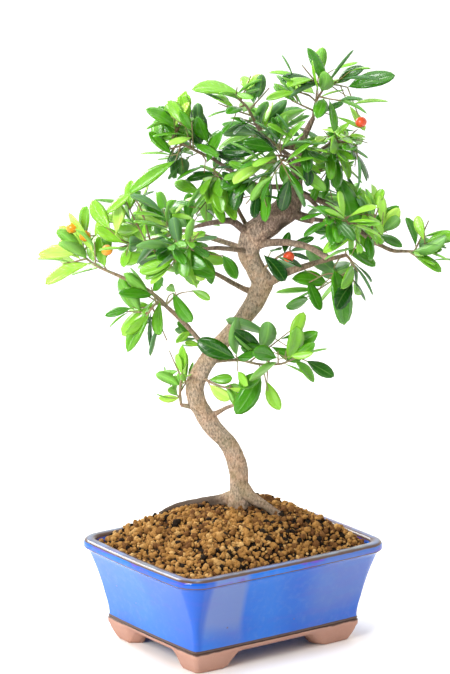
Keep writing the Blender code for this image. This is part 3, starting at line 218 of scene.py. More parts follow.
BOUGHS = {
    "bough_lower_left": Bough("trunk", (0.0017, 0.0011), (
        (-0.012, 0.009, 0.182), (-0.019, 0.0065, 0.189), (-0.026, 0.004, 0.198),
        (-0.034, 0, 0.2075), (-0.0415, -0.004, 0.2155))),
    "bough_far_left": Bough("bough_lower_left", (0.0011, 0.0009), (
        (-0.0415, -0.004, 0.2155), (-0.0495, -0.007, 0.224), (-0.0595, -0.009, 0.2305),
        (-0.071, -0.01, 0.236))),
    "bough_mid_left": Bough("trunk", (0.0016, 0.001), (
        (0.016, 0.012, 0.2195), (0.006, 0.0135, 0.2225), (-0.0075, 0.016, 0.2295),
        (-0.0175, 0.018, 0.234), (-0.027, 0.02, 0.237))),
    "bough_upper_left": Bough("trunk", (0.0028, 0.0012), (
        (0.0135, 0.0085, 0.256), (0.0068, 0.005, 0.261), (-0.0012, 0, 0.2675),
        (-0.011, -0.006, 0.268), (-0.0213, -0.01, 0.2665))),
    "twig_upper_left": Bough("trunk", (0.0013, 0.0009), (
        (0.012, 0.0085, 0.2565), (0.0065, 0.011, 0.266), (0.0025, 0.012, 0.274),
        (-0.0012, 0.012, 0.284))),
    "bough_crown_left": Bough("trunk", (0.0019, 0.001), (
        (0.0395, 0.01, 0.287), (0.0306, 0.008, 0.2872), (0.0177, 0.004, 0.2886),
        (0.0073, 0.002, 0.292), (-0.0012, 0, 0.2986), (-0.011, 0, 0.3054))),
    "bough_apex_left": Bough("trunk", (0.0015, 0.001), (
        (0.0418, 0.01, 0.311), (0.0286, 0.004, 0.3134), (0.0194, 0, 0.319),
        (0.0133, 0, 0.3288))),
    "bough_crown_front": Bough("trunk", (0.0016, 0.0011), (
        (0.0405, 0.01, 0.293), (0.038, 0.001, 0.298), (0.0355, -0.007, 0.303),
        (0.034, -0.012, 0.3065))),
    "bough_crown_right": Bough("trunk", (0.0015, 0.001), (
        (0.0425, 0.01, 0.302), (0.0519, 0.007, 0.309), (0.0604, 0.006, 0.315))),
    "bough_right_long": Bough("trunk", (0.002, 0.0012), (
        (0.039, 0.0095, 0.2835), (0.052, 0.002, 0.2803), (0.0642, 0, 0.2744),
        (0.074, -0.002, 0.2655), (0.083, -0.004, 0.2571))),
    "bough_far_right": Bough("bough_right_long", (0.0012, 0.0009), (
        (0.083, -0.004, 0.2571), (0.0966, -0.004, 0.2503), (0.104, -0.004, 0.2495))),
    "bough_right_low": Bough("trunk", (0.0029, 0.0011), (
        (0.018, 0.012, 0.2265), (0.025, 0.008, 0.229), (0.0327, 0.006, 0.2338),
        (0.0413, 0.006, 0.2369), (0.053, 0.008, 0.2403), (0.0697, 0.01, 0.2443))),
    "stub_right": Bough("trunk", (0.0023, 0.0016), (
        (0.012, 0.0095, 0.25), (0.023, 0, 0.254), (0.0348, -0.008, 0.2555),
        (0.0456, -0.013, 0.254), (0.0565, -0.018, 0.2488))),
    "twig_low_right": Bough("trunk", (0.001, 0.0009), (
        (-0.0165, 0.009, 0.1755), (-0.011, 0.007, 0.1775), (-0.004, 0.004, 0.179))),
    "stub_low_right": Bough("trunk", (0.0016, 0.001), (
        (-0.0155, 0.0115, 0.141), (-0.0093, 0.007, 0.1449), (-0.0043, 0.004, 0.1485),
        (0.0019, 0, 0.1521))),
    "stub_low_left": Bough("trunk", (0.0013, 0.0011), (
        (-0.021, 0.0105, 0.1478), (-0.0273, 0.01, 0.1482), (-0.0323, 0.01, 0.1489))),
    "stub_knuckle": Bough("trunk", (0.003, 0.0025), (
        (0.033, 0.009, 0.273), (0.041, 0.003, 0.27), (0.049, 0, 0.2685))),
    "bough_back_left": Bough("trunk", (0.0019, 0.0011), (
        (0.01, 0.01, 0.244), (0.004, 0.02, 0.247), (-0.01, 0.034, 0.249),
        (-0.024, 0.044, 0.251))),
    "bough_back_right": Bough("trunk", (0.002, 0.0011), (
        (0.0225, 0.0085, 0.2645), (0.032, 0.022, 0.266), (0.046, 0.036, 0.262),
        (0.058, 0.045, 0.259))),
    "bough_back_top": Bough("trunk", (0.0016, 0.0011), (
        (0.041, 0.01, 0.297), (0.037, 0.022, 0.302), (0.031, 0.034, 0.305),
        (0.025, 0.042, 0.308))),
    "bough_front_right": Bough("trunk", (0.0016, 0.001), (
        (0.0375, 0.01, 0.2785), (0.044, -0.006, 0.284), (0.052, -0.018, 0.279),
        (0.058, -0.026, 0.274))),
    "bough_front_left": Bough("trunk", (0.0016, 0.001), (
        (0.0095, 0.01, 0.247), (0.003, -0.002, 0.25), (-0.01, -0.016, 0.254),
        (-0.02, -0.026, 0.255))),
}

MASSES = {
    "leaves_far_left": Mass((
        (-0.071, -0.01, 0.236), (-0.083, -0.01, 0.2415), (-0.092, -0.009, 0.248)),
        (-0.094, -0.008, 0.252), (0.0265, 0.024, 0.025), 3, 3, 0.023, 0.2, 65, (
            ((-0.0861, -0.01, 0.244), (-0.1129, -0.014, 0.2337)),
            ((-0.0898, -0.008, 0.2511), (-0.1168, -0.006, 0.2482)),
            ((-0.091, -0.006, 0.2569), (-0.0894, -0.01, 0.277)),
            ((-0.0846, -0.012, 0.2594), (-0.0771, -0.014, 0.2759))),
        ((-0.098, -0.012, 0.2656), (-0.09, -0.014, 0.261))),
    "leaves_left_mid": Mass((
        (-0.0213, -0.01, 0.2665), (-0.035, -0.014, 0.2625), (-0.0505, -0.015, 0.2587),
        (-0.0633, -0.015, 0.2555)),
        (-0.056, -0.013, 0.266), (0.036, 0.029, 0.03), 5, 3, 0.021, 0.3, 85, (
            ((-0.0607, -0.012, 0.2878), (-0.0763, -0.02, 0.2783)),),
        ((-0.0767, -0.014, 0.2523),)),
    "leaves_left_low": Mass((
        (-0.0415, -0.004, 0.2155), (-0.0475, -0.007, 0.217), (-0.053, -0.01, 0.21)),
        (-0.049, -0.006, 0.215), (0.029, 0.025, 0.03), 4, 3, 0.023, -0.2, 23, (
            ((-0.0257, -0.008, 0.2261), (-0.0147, -0.012, 0.2214)),
            ((-0.0496, -0.008, 0.2161), (-0.0643, -0.014, 0.191)),
            ((-0.0447, -0.01, 0.2203), (-0.046, -0.012, 0.2)),
            ((-0.0374, -0.006, 0.2251), (-0.0264, -0.01, 0.2077)))),
    "leaves_left_inner": Mass((
        (-0.027, 0.02, 0.237), (-0.039, 0.02, 0.2405), (-0.05, 0.018, 0.246)),
        (-0.024, 0.016, 0.242), (0.036, 0.027, 0.026), 5, 3, 0.021, 0.2, 4, (
            ((-0.0068, 0.012, 0.2445), (0.0019, 0.008, 0.2308)),)),
    "leaves_upper_mid": Mass((
        (-0.0012, 0.012, 0.284), (-0.006, 0.01, 0.291), (-0.012, 0.006, 0.296)),
        (-0.009, 0.006, 0.283), (0.032, 0.027, 0.029), 5, 3, 0.021, 0.1, 93),
    "leaves_upper_left": Mass((
        (-0.011, 0, 0.3054), (-0.026, -0.002, 0.3132), (-0.037, -0.003, 0.3195)),
        (-0.026, 0, 0.315), (0.031, 0.028, 0.032), 4, 3, 0.022, 0.2, 90, (
            ((-0.031, -0.004, 0.3258), (-0.0508, -0.008, 0.3375)),
            ((-0.0262, 0.002, 0.3199), (-0.0476, 0.004, 0.3183)),
            ((-0.0334, -0.008, 0.3074), (-0.0612, -0.016, 0.291)),
            ((-0.0298, 0, 0.33), (-0.028, 0.004, 0.3441)),
            ((-0.0165, -0.004, 0.3036), (-0.0067, -0.01, 0.3231)),
            ((-0.0128, 0, 0.311), (0.003, -0.006, 0.3065)))),
    "leaves_apex_left": Mass((
        (0.0133, 0, 0.3288), (0.008, -0.003, 0.339), (0, -0.004, 0.346)),
        (0.007, -0.001, 0.335), (0.033, 0.027, 0.027), 5, 3, 0.022, 0.2, 28, (
            ((0.0054, -0.004, 0.3472), (-0.0218, -0.01, 0.3524)),
            ((0.0066, 0, 0.3472), (0.0163, 0.004, 0.357)))),
    "leaves_apex": Mass((
        (0.0488, 0.008, 0.33), (0.0505, 0.006, 0.3405), (0.056, 0.004, 0.35)),
        (0.053, 0.005, 0.342), (0.043, 0.029, 0.032), 4, 3, 0.022, 0.2, 52, (
            ((0.057, 0.005, 0.3513), (0.0477, 0.002, 0.3737)),
            ((0.0626, 0.008, 0.3509), (0.0786, 0.014, 0.3598)),
            ((0.068, 0.006, 0.3487), (0.096, 0.008, 0.357)),
            ((0.0539, 0.002, 0.3518), (0.0308, -0.004, 0.3557)),
            ((0.053, 0.002, 0.334), (0.0655, 0, 0.3405)),
            ((0.0395, 0.006, 0.3463), (0.0212, 0.004, 0.3435))),
        ((0.0777, 0, 0.3288),)),
    "leaves_crown_front": Mass((
        (0.034, -0.012, 0.3065), (0.032, -0.02, 0.311), (0.026, -0.027, 0.313)),
        (0.024, -0.018, 0.305), (0.036, 0.028, 0.036), 5, 3, 0.021, 0.0, 100),
    "leaves_right_upper": Mass((
        (0.0604, 0.006, 0.315), (0.069, 0.004, 0.3155), (0.075, 0.002, 0.308)),
        (0.06, 0.004, 0.307), (0.027, 0.029, 0.034), 5, 3, 0.02, 0.0, 52, (
            ((0.0626, -0.004, 0.2987), (0.0735, -0.012, 0.2681)),
            ((0.06, -0.003, 0.3185), (0.0683, -0.008, 0.3289)))),
    "leaves_right_mid": Mass((
        (0.083, -0.004, 0.2571), (0.085, -0.003, 0.264), (0.085, 0, 0.271)),
        (0.079, 0, 0.263), (0.03, 0.027, 0.027), 5, 3, 0.021, 0.2, 28, (
            ((0.0865, -0.009, 0.2615), (0.1019, -0.013, 0.255)),)),
    "leaves_far_right": Mass((
        (0.104, -0.004, 0.2495), (0.112, -0.004, 0.2495), (0.119, -0.004, 0.251)),
        (0.114, -0.004, 0.252), (0.0235, 0.023, 0.022), 4, 3, 0.022, 0.2, 89, (
            ((0.1076, -0.006, 0.2501), (0.1262, -0.012, 0.2407)),
            ((0.1168, -0.004, 0.2547), (0.1361, -0.006, 0.2594)),
            ((0.1123, 0.002, 0.2509), (0.1074, 0.006, 0.2676)))),
    "leaves_right_low": Mass((
        (0.0697, 0.01, 0.2443), (0.0735, 0.01, 0.239), (0.072, 0.009, 0.2305)),
        (0.056, 0.006, 0.232), (0.034, 0.028, 0.029), 5, 3, 0.025, -0.2, 37, (
            ((0.0616, 0.006, 0.2382), (0.0703, 0, 0.2055)),
            ((0.0462, 0.004, 0.2298), (0.0535, -0.002, 0.2135)),
            ((0.0687, 0.002, 0.2509), (0.0863, -0.004, 0.2422)))),
    "leaves_fork": Mass((
        (0.016, 0.0115, 0.232), (0.0228, 0.004, 0.2405), (0.03, 0, 0.2465),
        (0.035, -0.002, 0.249)),
        (0.033, -0.002, 0.244), (0.021, 0.017, 0.016), 1, 2, 0.016, 0.1, 44, (
            ((0.0184, 0.002, 0.2465), (0.0313, -0.004, 0.2328)),
            ((0.0349, 0, 0.252), (0.0483, -0.004, 0.2578))),
        ((0.034, -0.008, 0.247),)),
    "leaves_low_right": Mass((
        (-0.004, 0.004, 0.179), (0.0056, -0.001, 0.1801), (0.0154, -0.006, 0.179),
        (0.0289, -0.01, 0.18), (0.0369, -0.012, 0.1836)),
        (0.018, -0.008, 0.185), (0.04, 0.027, 0.028), 5, 3, 0.024, 0.1, 95, (
            ((0.0191, -0.008, 0.1865), (0.0018, -0.014, 0.2011)),
            ((0.0313, -0.01, 0.1876), (0.0502, -0.014, 0.1999)),
            ((0.0357, -0.006, 0.1891), (0.043, -0.004, 0.2095)),
            ((0.0443, -0.01, 0.1825), (0.0608, -0.014, 0.174)),
            ((0.0179, -0.008, 0.1751), (0.0031, -0.016, 0.1517)),
            ((0.0204, -0.004, 0.1684), (0.0285, -0.006, 0.151)))),
    "leaves_low_mid": Mass((
        (-0.02, 0.009, 0.168), (-0.015, 0.002, 0.166), (-0.008, -0.002, 0.164),
        (-0.002, -0.004, 0.163)),
        (-0.006, -0.002, 0.162), (0.014, 0.014, 0.012), 0, 2, 0.013, -0.1, 14, (
            ((-0.0154, 0.002, 0.1643), (-0.0024, -0.002, 0.1564)),
            ((-0.0154, 0.002, 0.1669), (-0.0018, -0.002, 0.169)),
            ((-0.0012, 0, 0.1648), (0.0025, -0.004, 0.1524)))),
    "leaves_elbow": Mass((
        (-0.0117, 0.009, 0.1824), (-0.016, 0.013, 0.1855), (-0.02, 0.014, 0.189),
        (-0.0241, 0.013, 0.1944)),
        (-0.025, 0.011, 0.192), (0.015, 0.013, 0.013), 0, 2, 0.012, 0.0, 36, (
            ((-0.0195, 0.0115, 0.1865), (-0.029, 0.0085, 0.189)),
            ((-0.026, 0.01, 0.1962), (-0.0346, 0.004, 0.1906)))),
    "leaves_low_left": Mass((
        (-0.0323, 0.01, 0.1489), (-0.0329, 0.008, 0.159), (-0.0316, 0.006, 0.17)),
        (-0.035, 0.008, 0.167), (0.016, 0.016, 0.022), 4, 2, 0.016, 0.3, 62, (
            ((-0.0316, 0.006, 0.171), (-0.0321, 0.004, 0.1868)),
            ((-0.0329, 0.008, 0.1539), (-0.0453, 0.004, 0.1549)))),
    "leaves_back_left": Mass((
        (-0.024, 0.044, 0.251), (-0.036, 0.051, 0.2525), (-0.046, 0.056, 0.256)),
        (-0.038, 0.049, 0.253), (0.032, 0.029, 0.024), 5, 3, 0.022, 0.2, 80),
    "leaves_back_right": Mass((
        (0.058, 0.045, 0.259), (0.068, 0.052, 0.259), (0.076, 0.056, 0.262)),
        (0.068, 0.049, 0.259), (0.031, 0.029, 0.024), 5, 3, 0.022, 0.2, 86, (),
        ((0.06, 0.062, 0.25),)),
    "leaves_back_top": Mass((
        (0.025, 0.042, 0.308), (0.02, 0.048, 0.313), (0.014, 0.052, 0.319)),
        (0.024, 0.043, 0.308), (0.034, 0.029, 0.028), 5, 3, 0.022, 0.2, 30, (),
        ((0.01, 0.06, 0.305),)),
    "leaves_front_right": Mass((
        (0.058, -0.026, 0.274), (0.066, -0.033, 0.272), (0.073, -0.037, 0.274)),
        (0.065, -0.033, 0.27), (0.026, 0.024, 0.023), 5, 3, 0.021, 0.1, 46),
    "leaves_front_left": Mass((
        (-0.02, -0.026, 0.255), (-0.03, -0.034, 0.257), (-0.038, -0.038, 0.26)),
        (-0.032, -0.036, 0.255), (0.028, 0.024, 0.024), 5, 3, 0.021, 0.2, 97),
}


# ---- the rule of growth
def unit(vector):
    """The vector at length one."""
    return vector / np.linalg.norm(vector)


def between(ends, share):
    """The value at a share of the way from the first end to the second."""
    return ends[0] + (ends[1] - ends[0]) * share


def outward(forward, turn):
    """The direction square to a twig's, turned so far round it."""
    side = unit(np.cross(forward, UP) + SIDE_NUDGE)
    return side * math.cos(turn) + np.cross(side, forward) * math.sin(turn)


def smooth(points, steps):
    """Catmull-Rom curve through the rows of points, with so many steps from each to the next."""
    rows = np.array(points, float)
    rows = np.vstack([2 * rows[0] - rows[1], rows, 2 * rows[-1] - rows[-2]])
    t = np.linspace(0, 1, steps, endpoint=False)[:, None]
    spans = [0.5 * (2 * b + (c - a) * t + (2 * a - 5 * b + 4 * c - d) * t ** 2
                    + (3 * b - a - 3 * c + d) * t ** 3)
             for a, b, c, d in zip(rows, rows[1:], rows[2:], rows[3:])]
    return np.vstack(spans + [rows[-2:-1]])


def on_line(line, share):
    """The place at a share of the way through a line's rows, and the line's direction there."""
    place = (len(line) - 1) * share
    below = min(int(place), len(line) - 2)
    span = line[below + 1] - line[below]
    return line[below] + span * (place - below), unit(span)


def tapered(path, radii, steps):
    """A smooth path whose fourth column runs evenly from the first radius to the last."""
    line = smooth(path, steps)
    return np.column_stack([line, np.linspace(radii[0], radii[1], len(line))])


def outer_growth(mass):
    """A mass's twigs and leaves that stand out, its fruit stalks, and the lines of all of them,
    as across, deep, up and radius, by which other masses keep clear."""
    stem = smooth(mass.stem, STEM_STEPS)
    twigs, leaves, stalks, lines = [], [], [], []
    for foot, tip in mass.tips:
        base, along, face, length = set_leaf(foot, tip)
        knot = stem[np.argmin(np.linalg.norm(stem - base, axis=1))]
        bend = (knot + base) / 2 + UP * BEND * np.linalg.norm(base - knot)
        twigs.append(np.array([knot, bend, base + along * ROOT_SINK]))
        leaves.append((base, along, face, length))
        broad = LEAF_WIDTH * length / 2
        lines.append(np.array([(*(base + along * place * length), wide * broad)
                               for place, wide in BLADE_TESTS]))
    knots = np.vstack([stem] + twigs)
    for berry in mass.berries:
        centre = np.array(berry)
        start = knots[np.argmin(np.linalg.norm(knots - centre, axis=1))]
        stalks.append(np.linspace(start, centre, 3))
        ball = np.linspace(centre - UP * BERRY_RADIUS / 2, centre + UP * BERRY_RADIUS / 2, 2)
        lines.append(np.column_stack([ball, np.full(2, BERRY_RADIUS)]))
    for thin in twigs + stalks:
        lines.append(np.column_stack([thin, np.full(len(thin), TWIG_RADIUS[0])]))
    return twigs, leaves, stalks, lines


def limb_lines():
    """The lines of every limb: the trunk's, each bough's, and for each mass those of its stem
    and of the leaves that stand out from it."""
    lines = {"trunk": [smooth(TRUNK, 1)]}
    for name, bough in BOUGHS.items():
        lines[name] = [tapered(bough.path, bough.radii, 1)]
    for name, mass in MASSES.items():
        lines[name] = [tapered(mass.stem, STEM_RADIUS, STEM_STEPS)] + outer_growth(mass)[-1]
    return lines


class Limbs:
    """The limbs as tapered lengths, to measure how far points are from their bark."""

    def __init__(self, lines, but):
        others = [line for name, group in lines.items() if name != but for line in group]
        ends = np.array([(a, b) for line in others for a, b in zip(line, line[1:])])
        self.start, self.run = ends[:, 0, :3], ends[:, 1, :3] - ends[:, 0, :3]
        self.radius, self.taper = ends[:, 0, 3], ends[:, 1, 3] - ends[:, 0, 3]
        self.square = np.einsum("ij,ij->i", self.run, self.run)

    def clear(self, points):
        """True where every point is at least the clearance away from every limb."""
        offset = points[:, None, :] - self.start[None]
        share = np.clip(np.einsum("pij,ij->pi", offset, self.run) / self.square, 0, 1)
        away = np.linalg.norm(offset - share[..., None] * self.run, axis=2)
        return bool(np.all(away - self.radius - share * self.taper > CLEARANCE))


def in_space(points, name):
    """True where the points are in the mass's egg-shaped space, on its own side of the others."""
    own = np.linalg.norm((points - MASSES[name].middle) / MASSES[name].half, axis=1)
    if own.max() > 1:
        return False
    others = [np.linalg.norm((points - mass.middle) / mass.half, axis=1)
              for other, mass in MASSES.items() if other != name]
    return bool(np.all(own + SPACE_MARGIN < np.min(others, axis=0)))


def tested_points(base, along, face, length):
    """A leaf's tip, its broadest places, a place just past its root, and places between them."""
    across = np.cross(face, along) * (LEAF_WIDTH * length / 2)
    broad = base + along * 0.5 ** LEAF_SHIFT * length
    left, right = broad + across, broad - across
    tip, root = base + along * length, base + along * 0.1 * length
    middles = [(one + other) / 2 for one in (tip, root) for other in (left, right, broad)]
    return np.array([tip, left, right, root, broad] + middles)


def crossing(lines, triangles):
    """True where any line, a pair of ends, goes through any triangle.

    Each line meets each triangle's plane at one place, given by two shares of the triangle's
    sides and a share of the line. It goes through where all of them are from 0 to 1.
    """
    if not len(lines) or not len(triangles):
        return False
    start, run = lines[:, None, 0], lines[:, None, 1] - lines[:, None, 0]
    corner = triangles[None, :, 0]
    one, two = triangles[None, :, 1] - corner, triangles[None, :, 2] - corner
    across = np.cross(run, two)
    scale = np.einsum("etk,etk->et", one + 0 * across, across)
    scale = np.where(np.abs(scale) < TINY, TINY, scale)
    offset = start - corner
    turned = np.cross(offset, one)
    first = np.einsum("etk,etk->et", offset, across) / scale
    second = np.einsum("etk,etk->et", run + 0 * turned, turned) / scale
    along = np.einsum("etk,etk->et", two + 0 * turned, turned) / scale
    return bool(np.any((first >= 0) & (second >= 0) & (first + second <= 1)
                       & (along >= 0) & (along <= 1)))


class Growth:
    """What a leaf may not cross: the lines of all twigs and limbs, and the mass's own leaves."""

    def __init__(self, twigs):
        self.twigs = np.array([pair for twig in twigs for pair in zip(twig, twig[1:])])
        self.lines = np.empty((0, 2, 3))
        self.faces = np.empty((0, 3, 3))

    @staticmethod
    def of_leaf(points):
        """A leaf's two flat faces, and its four sides and midrib, from a little past its root."""
        tip, left, right, root = points[0], points[1], points[2], points[3]
        faces = np.array([(root, left, tip), (root, tip, right)])
        lines = np.array([(root, left), (left, tip), (root, right), (right, tip), (root, tip)])
        return lines, faces

    def free(self, points):
        """True where a leaf crosses none of the twigs and leaves."""
        lines, faces = self.of_leaf(points)
        return not (crossing(self.twigs, faces) or crossing(lines, self.faces)
                    or crossing(self.lines, faces))

    def add(self, points):
        """Takes in a leaf."""
        lines, faces = self.of_leaf(points)
        self.lines = np.concatenate([self.lines, lines])
        self.faces = np.concatenate([self.faces, faces])


def place_leaf(base, forward, turn, lean, length, name, limbs, growth, rng):
    """A leaf that leans out from a twig and faces the light, or None after too many tries.

    A try fails where the leaf would leave the space, touch a limb or cross a twig or a leaf,
    and the next one turns on round the twig and is a little shorter.
    """
    size = length * rng.uniform(*LEAF_RANGE)
    for attempt in range(TRIES):
        angle = turn + attempt * rng.uniform(*TURN_RANGE)
        tilt = lean * rng.uniform(*LEAN_RANGE)
        along = unit(forward * math.cos(tilt) + outward(forward, angle) * math.sin(tilt))
        light = LIGHT_UP * UP + LIGHT_OUT * unit(base - CROWN_MIDDLE)
        light = light + np.array([rng.gauss(0, LIGHT_STRAY) for axis in range(3)])
        face = unit(light - along * np.dot(light, along))
        points = tested_points(base, along, face, size)
        if in_space(points, name) and limbs.clear(points) and growth.free(points):
            growth.add(points)
            return base, along, face, size
        size *= SHRINK
    return None


def set_leaf(foot, tip):
    """A leaf from its foot to its tip, turned to the light."""
    foot, tip = np.array(foot), np.array(tip)
    length = np.linalg.norm(tip - foot)
    along = (tip - foot) / length
    light = LIGHT_UP * UP + LIGHT_OUT * unit(foot - CROWN_MIDDLE) + FRONT_TILT
    return foot, along, unit(light - along * np.dot(light, along)), length


def place_twig(base, heading, length, lift, name, limbs):
    """A twig that bends up or down as it goes, cut short where it would leave the space."""
    spans = TWIG_POINTS - 1
    t = np.linspace(0, 1, spans * TWIG_TESTS + 1)[:, None]
    line = base + heading * length * t + UP * lift * TWIG_BEND * length * t ** 2
    for last in range(spans, 0, -1):
        tested = line[2:last * TWIG_TESTS + 1]
        if in_space(tested, name) and limbs.clear(tested):
            return line[:last * TWIG_TESTS + 1:TWIG_TESTS]
    return None


def to_the_wall(base, heading, mass):
    """How far it is along the heading to the wall of the mass's space, by a square root."""
    at, step = (base - mass.middle) / mass.half, heading / mass.half
    a, b, c = step @ step, at @ step, at @ at - 1
    return (math.sqrt(max(b * b - a * c, 0)) - b) / a


def grow(name, lines):
    """The twigs, leaves and fruit stalks of one mass, by a rule that its seed decides.

    Shoots leave the stem a golden angle apart and run towards the wall of the space. Leaves
    stand a golden angle apart along each, leaning forward more towards its end. What a later
    leaf has to keep clear of is handed back too.
    """
    mass = MASSES[name]
    rng = random.Random(mass.seed)
    limbs = Limbs(lines, name)
    stem = lines[name][0][:, :3]
    twigs, leaves, stalks = outer_growth(mass)[:-1]
    ends = [(stem[-3:], 2)]
    for shoot in range(mass.shoots):
        base, forward = on_line(stem, between(SHOOT_PLACES, (shoot + 0.5) / mass.shoots))
        turn = shoot * GOLDEN + rng.uniform(-SHOOT_STRAY, SHOOT_STRAY)
        out = outward(forward, turn)
        heading = unit(out + forward * rng.uniform(*SHOOT_FORWARD) + UP * mass.lift)
        reach = to_the_wall(base, heading, mass) - mass.leaf * rng.uniform(*SHOOT_SHORT)
        reach = max(reach, SHOOT_LEAST * mass.leaf)
        twig = place_twig(base, heading, reach, mass.lift, name, limbs)
        if twig is not None:
            twigs.append(twig)
            ends.append((twig, mass.leaves))
    others = [line[:, :3] for other in lines for line in lines[other] if other != name]
    growth = Growth([stem] + twigs + stalks + others)
    for leaf in leaves:
        growth.add(tested_points(*leaf))
    for twig, count in ends:
        turn = rng.uniform(0, 2 * math.pi)
        for leaf in range(count + 1):
            base, forward = on_line(twig, between(LEAF_PLACES, leaf / count))
            lean = between(LEAF_LEAN, leaf / count)
            placed = place_leaf(base, forward, turn + leaf * GOLDEN, lean, mass.leaf,
                                name, limbs, growth, rng)
            if placed:
                leaves.append(placed)
    return twigs, leaves, stalks, growth, limbs


# ---- finer growth and places
FINER_SEED = 100                    # added to a mass's seed for its finer twigs
SIDE_PLACES = (0.38, 0.72)          # of a shoot's length, where its side twigs stand
CLOSE_PLACES = (0.22, 0.42, 0.62, 0.82)     # the same in the closest masses
CLOSE_MASSES = ("leaves_crown_front", "leaves_upper_mid", "leaves_right_upper")
OPEN_MASSES = (                     # whose side twigs carry a leaf at their tips alone
    "leaves_apex", "leaves_apex_left", "leaves_far_left", "leaves_far_right", "leaves_low_left",
    "leaves_low_right", "leaves_low_mid", "leaves_elbow", "leaves_fork", "leaves_right_low",
    "leaves_left_low")
SIDE_LENGTH = (0.35, 0.75)          # of a side twig, in the mass's own leaf lengths
SIDE_FORWARD = 0.7                  # how much a side twig leans along its shoot
SIDE_LEAVES = ((0.45, 1.0), (0.75, 0.8), (1.0, 0.35))   # place on the twig, lean from it
SIDE_ROOT = 0.97                    # brings those places a little back along the twig
TREE_AXES = np.array(((math.cos(TREE_TURN), math.sin(TREE_TURN), 0.0),
                      (-math.sin(TREE_TURN), math.cos(TREE_TURN), 0.0), (0.0, 0.0, 1.0)))


def placed(points):
    """Points or rows of the tree's axes, turned and moved to the pot's place."""
    return np.asarray(points)[..., :3] @ TREE_AXES + POT_CENTRE


def grow_finer(name, twigs, leaves, growth, limbs):
    """Side twigs with leaves on a mass's shoots, kept to the same space and clearance.

    A side twig on which no leaf finds room is left out.
    """
    mass = MASSES[name]
    rng = random.Random(mass.seed + FINER_SEED)
    carried = SIDE_LEAVES[-1:] if name in OPEN_MASSES else SIDE_LEAVES
    places = CLOSE_PLACES if name in CLOSE_MASSES else SIDE_PLACES
    sides = []
    for twig in twigs:
        turn = rng.uniform(0, math.tau)
        for number, share in enumerate(places):
            base, forward = on_line(twig, share)
            heading = unit(outward(forward, turn + number * GOLDEN) + forward * SIDE_FORWARD)
            length = mass.leaf * rng.uniform(*SIDE_LENGTH)
            side = place_twig(base, heading, length, mass.lift, name, limbs)
            if side is None:
                continue
            around, before = rng.uniform(0, math.tau), len(leaves)
            for order, (at, lean) in enumerate(carried):
                foot = side[0] + (side[-1] - side[0]) * at * SIDE_ROOT
                found = place_leaf(foot, heading, around + order * GOLDEN, lean, mass.leaf,
                                   name, limbs, growth, rng)
                if found:
                    leaves.append(found)
            if len(leaves) > before:
                sides.append(side)
    return sides


# ---- noise and meshes
CELL_FACTORS = np.array((73856093, 19349663, 83492791))     # large, so that cells differ widely
SEED_FACTOR = 40503
MIXINGS = ((13, 1274126177), (15, 668265263))   # a shift and a factor for each
DIGITS = 0x7FFFFFFF                 # the largest mixed value
END_ROUND = 0.4                     # how far a limb's last point stands out, in its radii


def scattered(cells, seed):
    """A fixed random value from -1 to 1 for each whole-number cell, by mixing its digits."""
    mixed = (cells * CELL_FACTORS).sum(-1) + seed * SEED_FACTOR
    for shift, factor in MIXINGS:
        mixed = ((mixed ^ (mixed >> shift)) * factor) & DIGITS
    return mixed / (DIGITS // 2) - 1


def eased(part):
    """A share that starts and ends gently, by 3t2 - 2t3."""
    return part * part * (3 - 2 * part)


def noise(points, seed=0):
    """Value noise: the scattered values of a point's eight cell corners, blended gently."""
    cell = np.floor(points).astype(np.int64)
    ease = eased(points - cell)
    total = np.zeros(points.shape[:-1])
    for corner in itertools.product((0, 1), repeat=3):
        weight = np.prod(np.where(corner, ease, 1 - ease), axis=-1)
        total += weight * scattered(cell + np.array(corner), seed)
    return total


def travelled(path):
    """The distance along a path to each of its rows."""
    return np.concatenate([[0], np.cumsum(np.linalg.norm(np.diff(path, axis=0), axis=1))])


def even_angles(around):
    """So many angles, evenly round a circle."""
    return np.arange(around) * math.tau / around


def ring_directions(path, around):
    """The ways out to the points of rings square to a path, and the way the path runs.

    A ring's ways are one * cos a + two * sin a, where one and two are square to the path, from
    the axis that it runs least along.
    """
    ahead = np.gradient(path, axis=0)
    ahead /= np.linalg.norm(ahead, axis=1, keepdims=True)
    axis = np.eye(3)[np.argmin(np.abs(ahead).max(axis=0))]
    one = axis - ahead * (ahead @ axis)[:, None]
    one /= np.linalg.norm(one, axis=1, keepdims=True)
    two = np.cross(ahead, one)
    angle = even_angles(around)[:, None]
    return one[:, None] * np.cos(angle) + two[:, None] * np.sin(angle), ahead


def grid_faces(rows, around):
    """Four-cornered faces between neighbouring rings of so many points."""
    row, column = np.meshgrid(np.arange(rows - 1), np.arange(around), indexing="ij")
    here, there = row * around + column, row * around + (column + 1) % around
    return np.stack([here, there, there + around, here + around], axis=-1).reshape(-1, 4)


def capped(rings, ends):
    """Points and faces of a skin over rings, which one point closes at each end."""
    rows, around = rings.shape[:2]
    last = rows * around
    edge = np.arange(around)
    onward = (edge + 1) % around
    first_cap = np.stack([np.full(around, last), onward, edge], axis=1)
    last_cap = np.stack([np.full(around, last + 1), edge + last - around,
                         onward + last - around], axis=1)
    points = np.vstack([rings.reshape(-1, 3), ends])
    return points, grid_faces(rows, around), np.vstack([first_cap, last_cap])


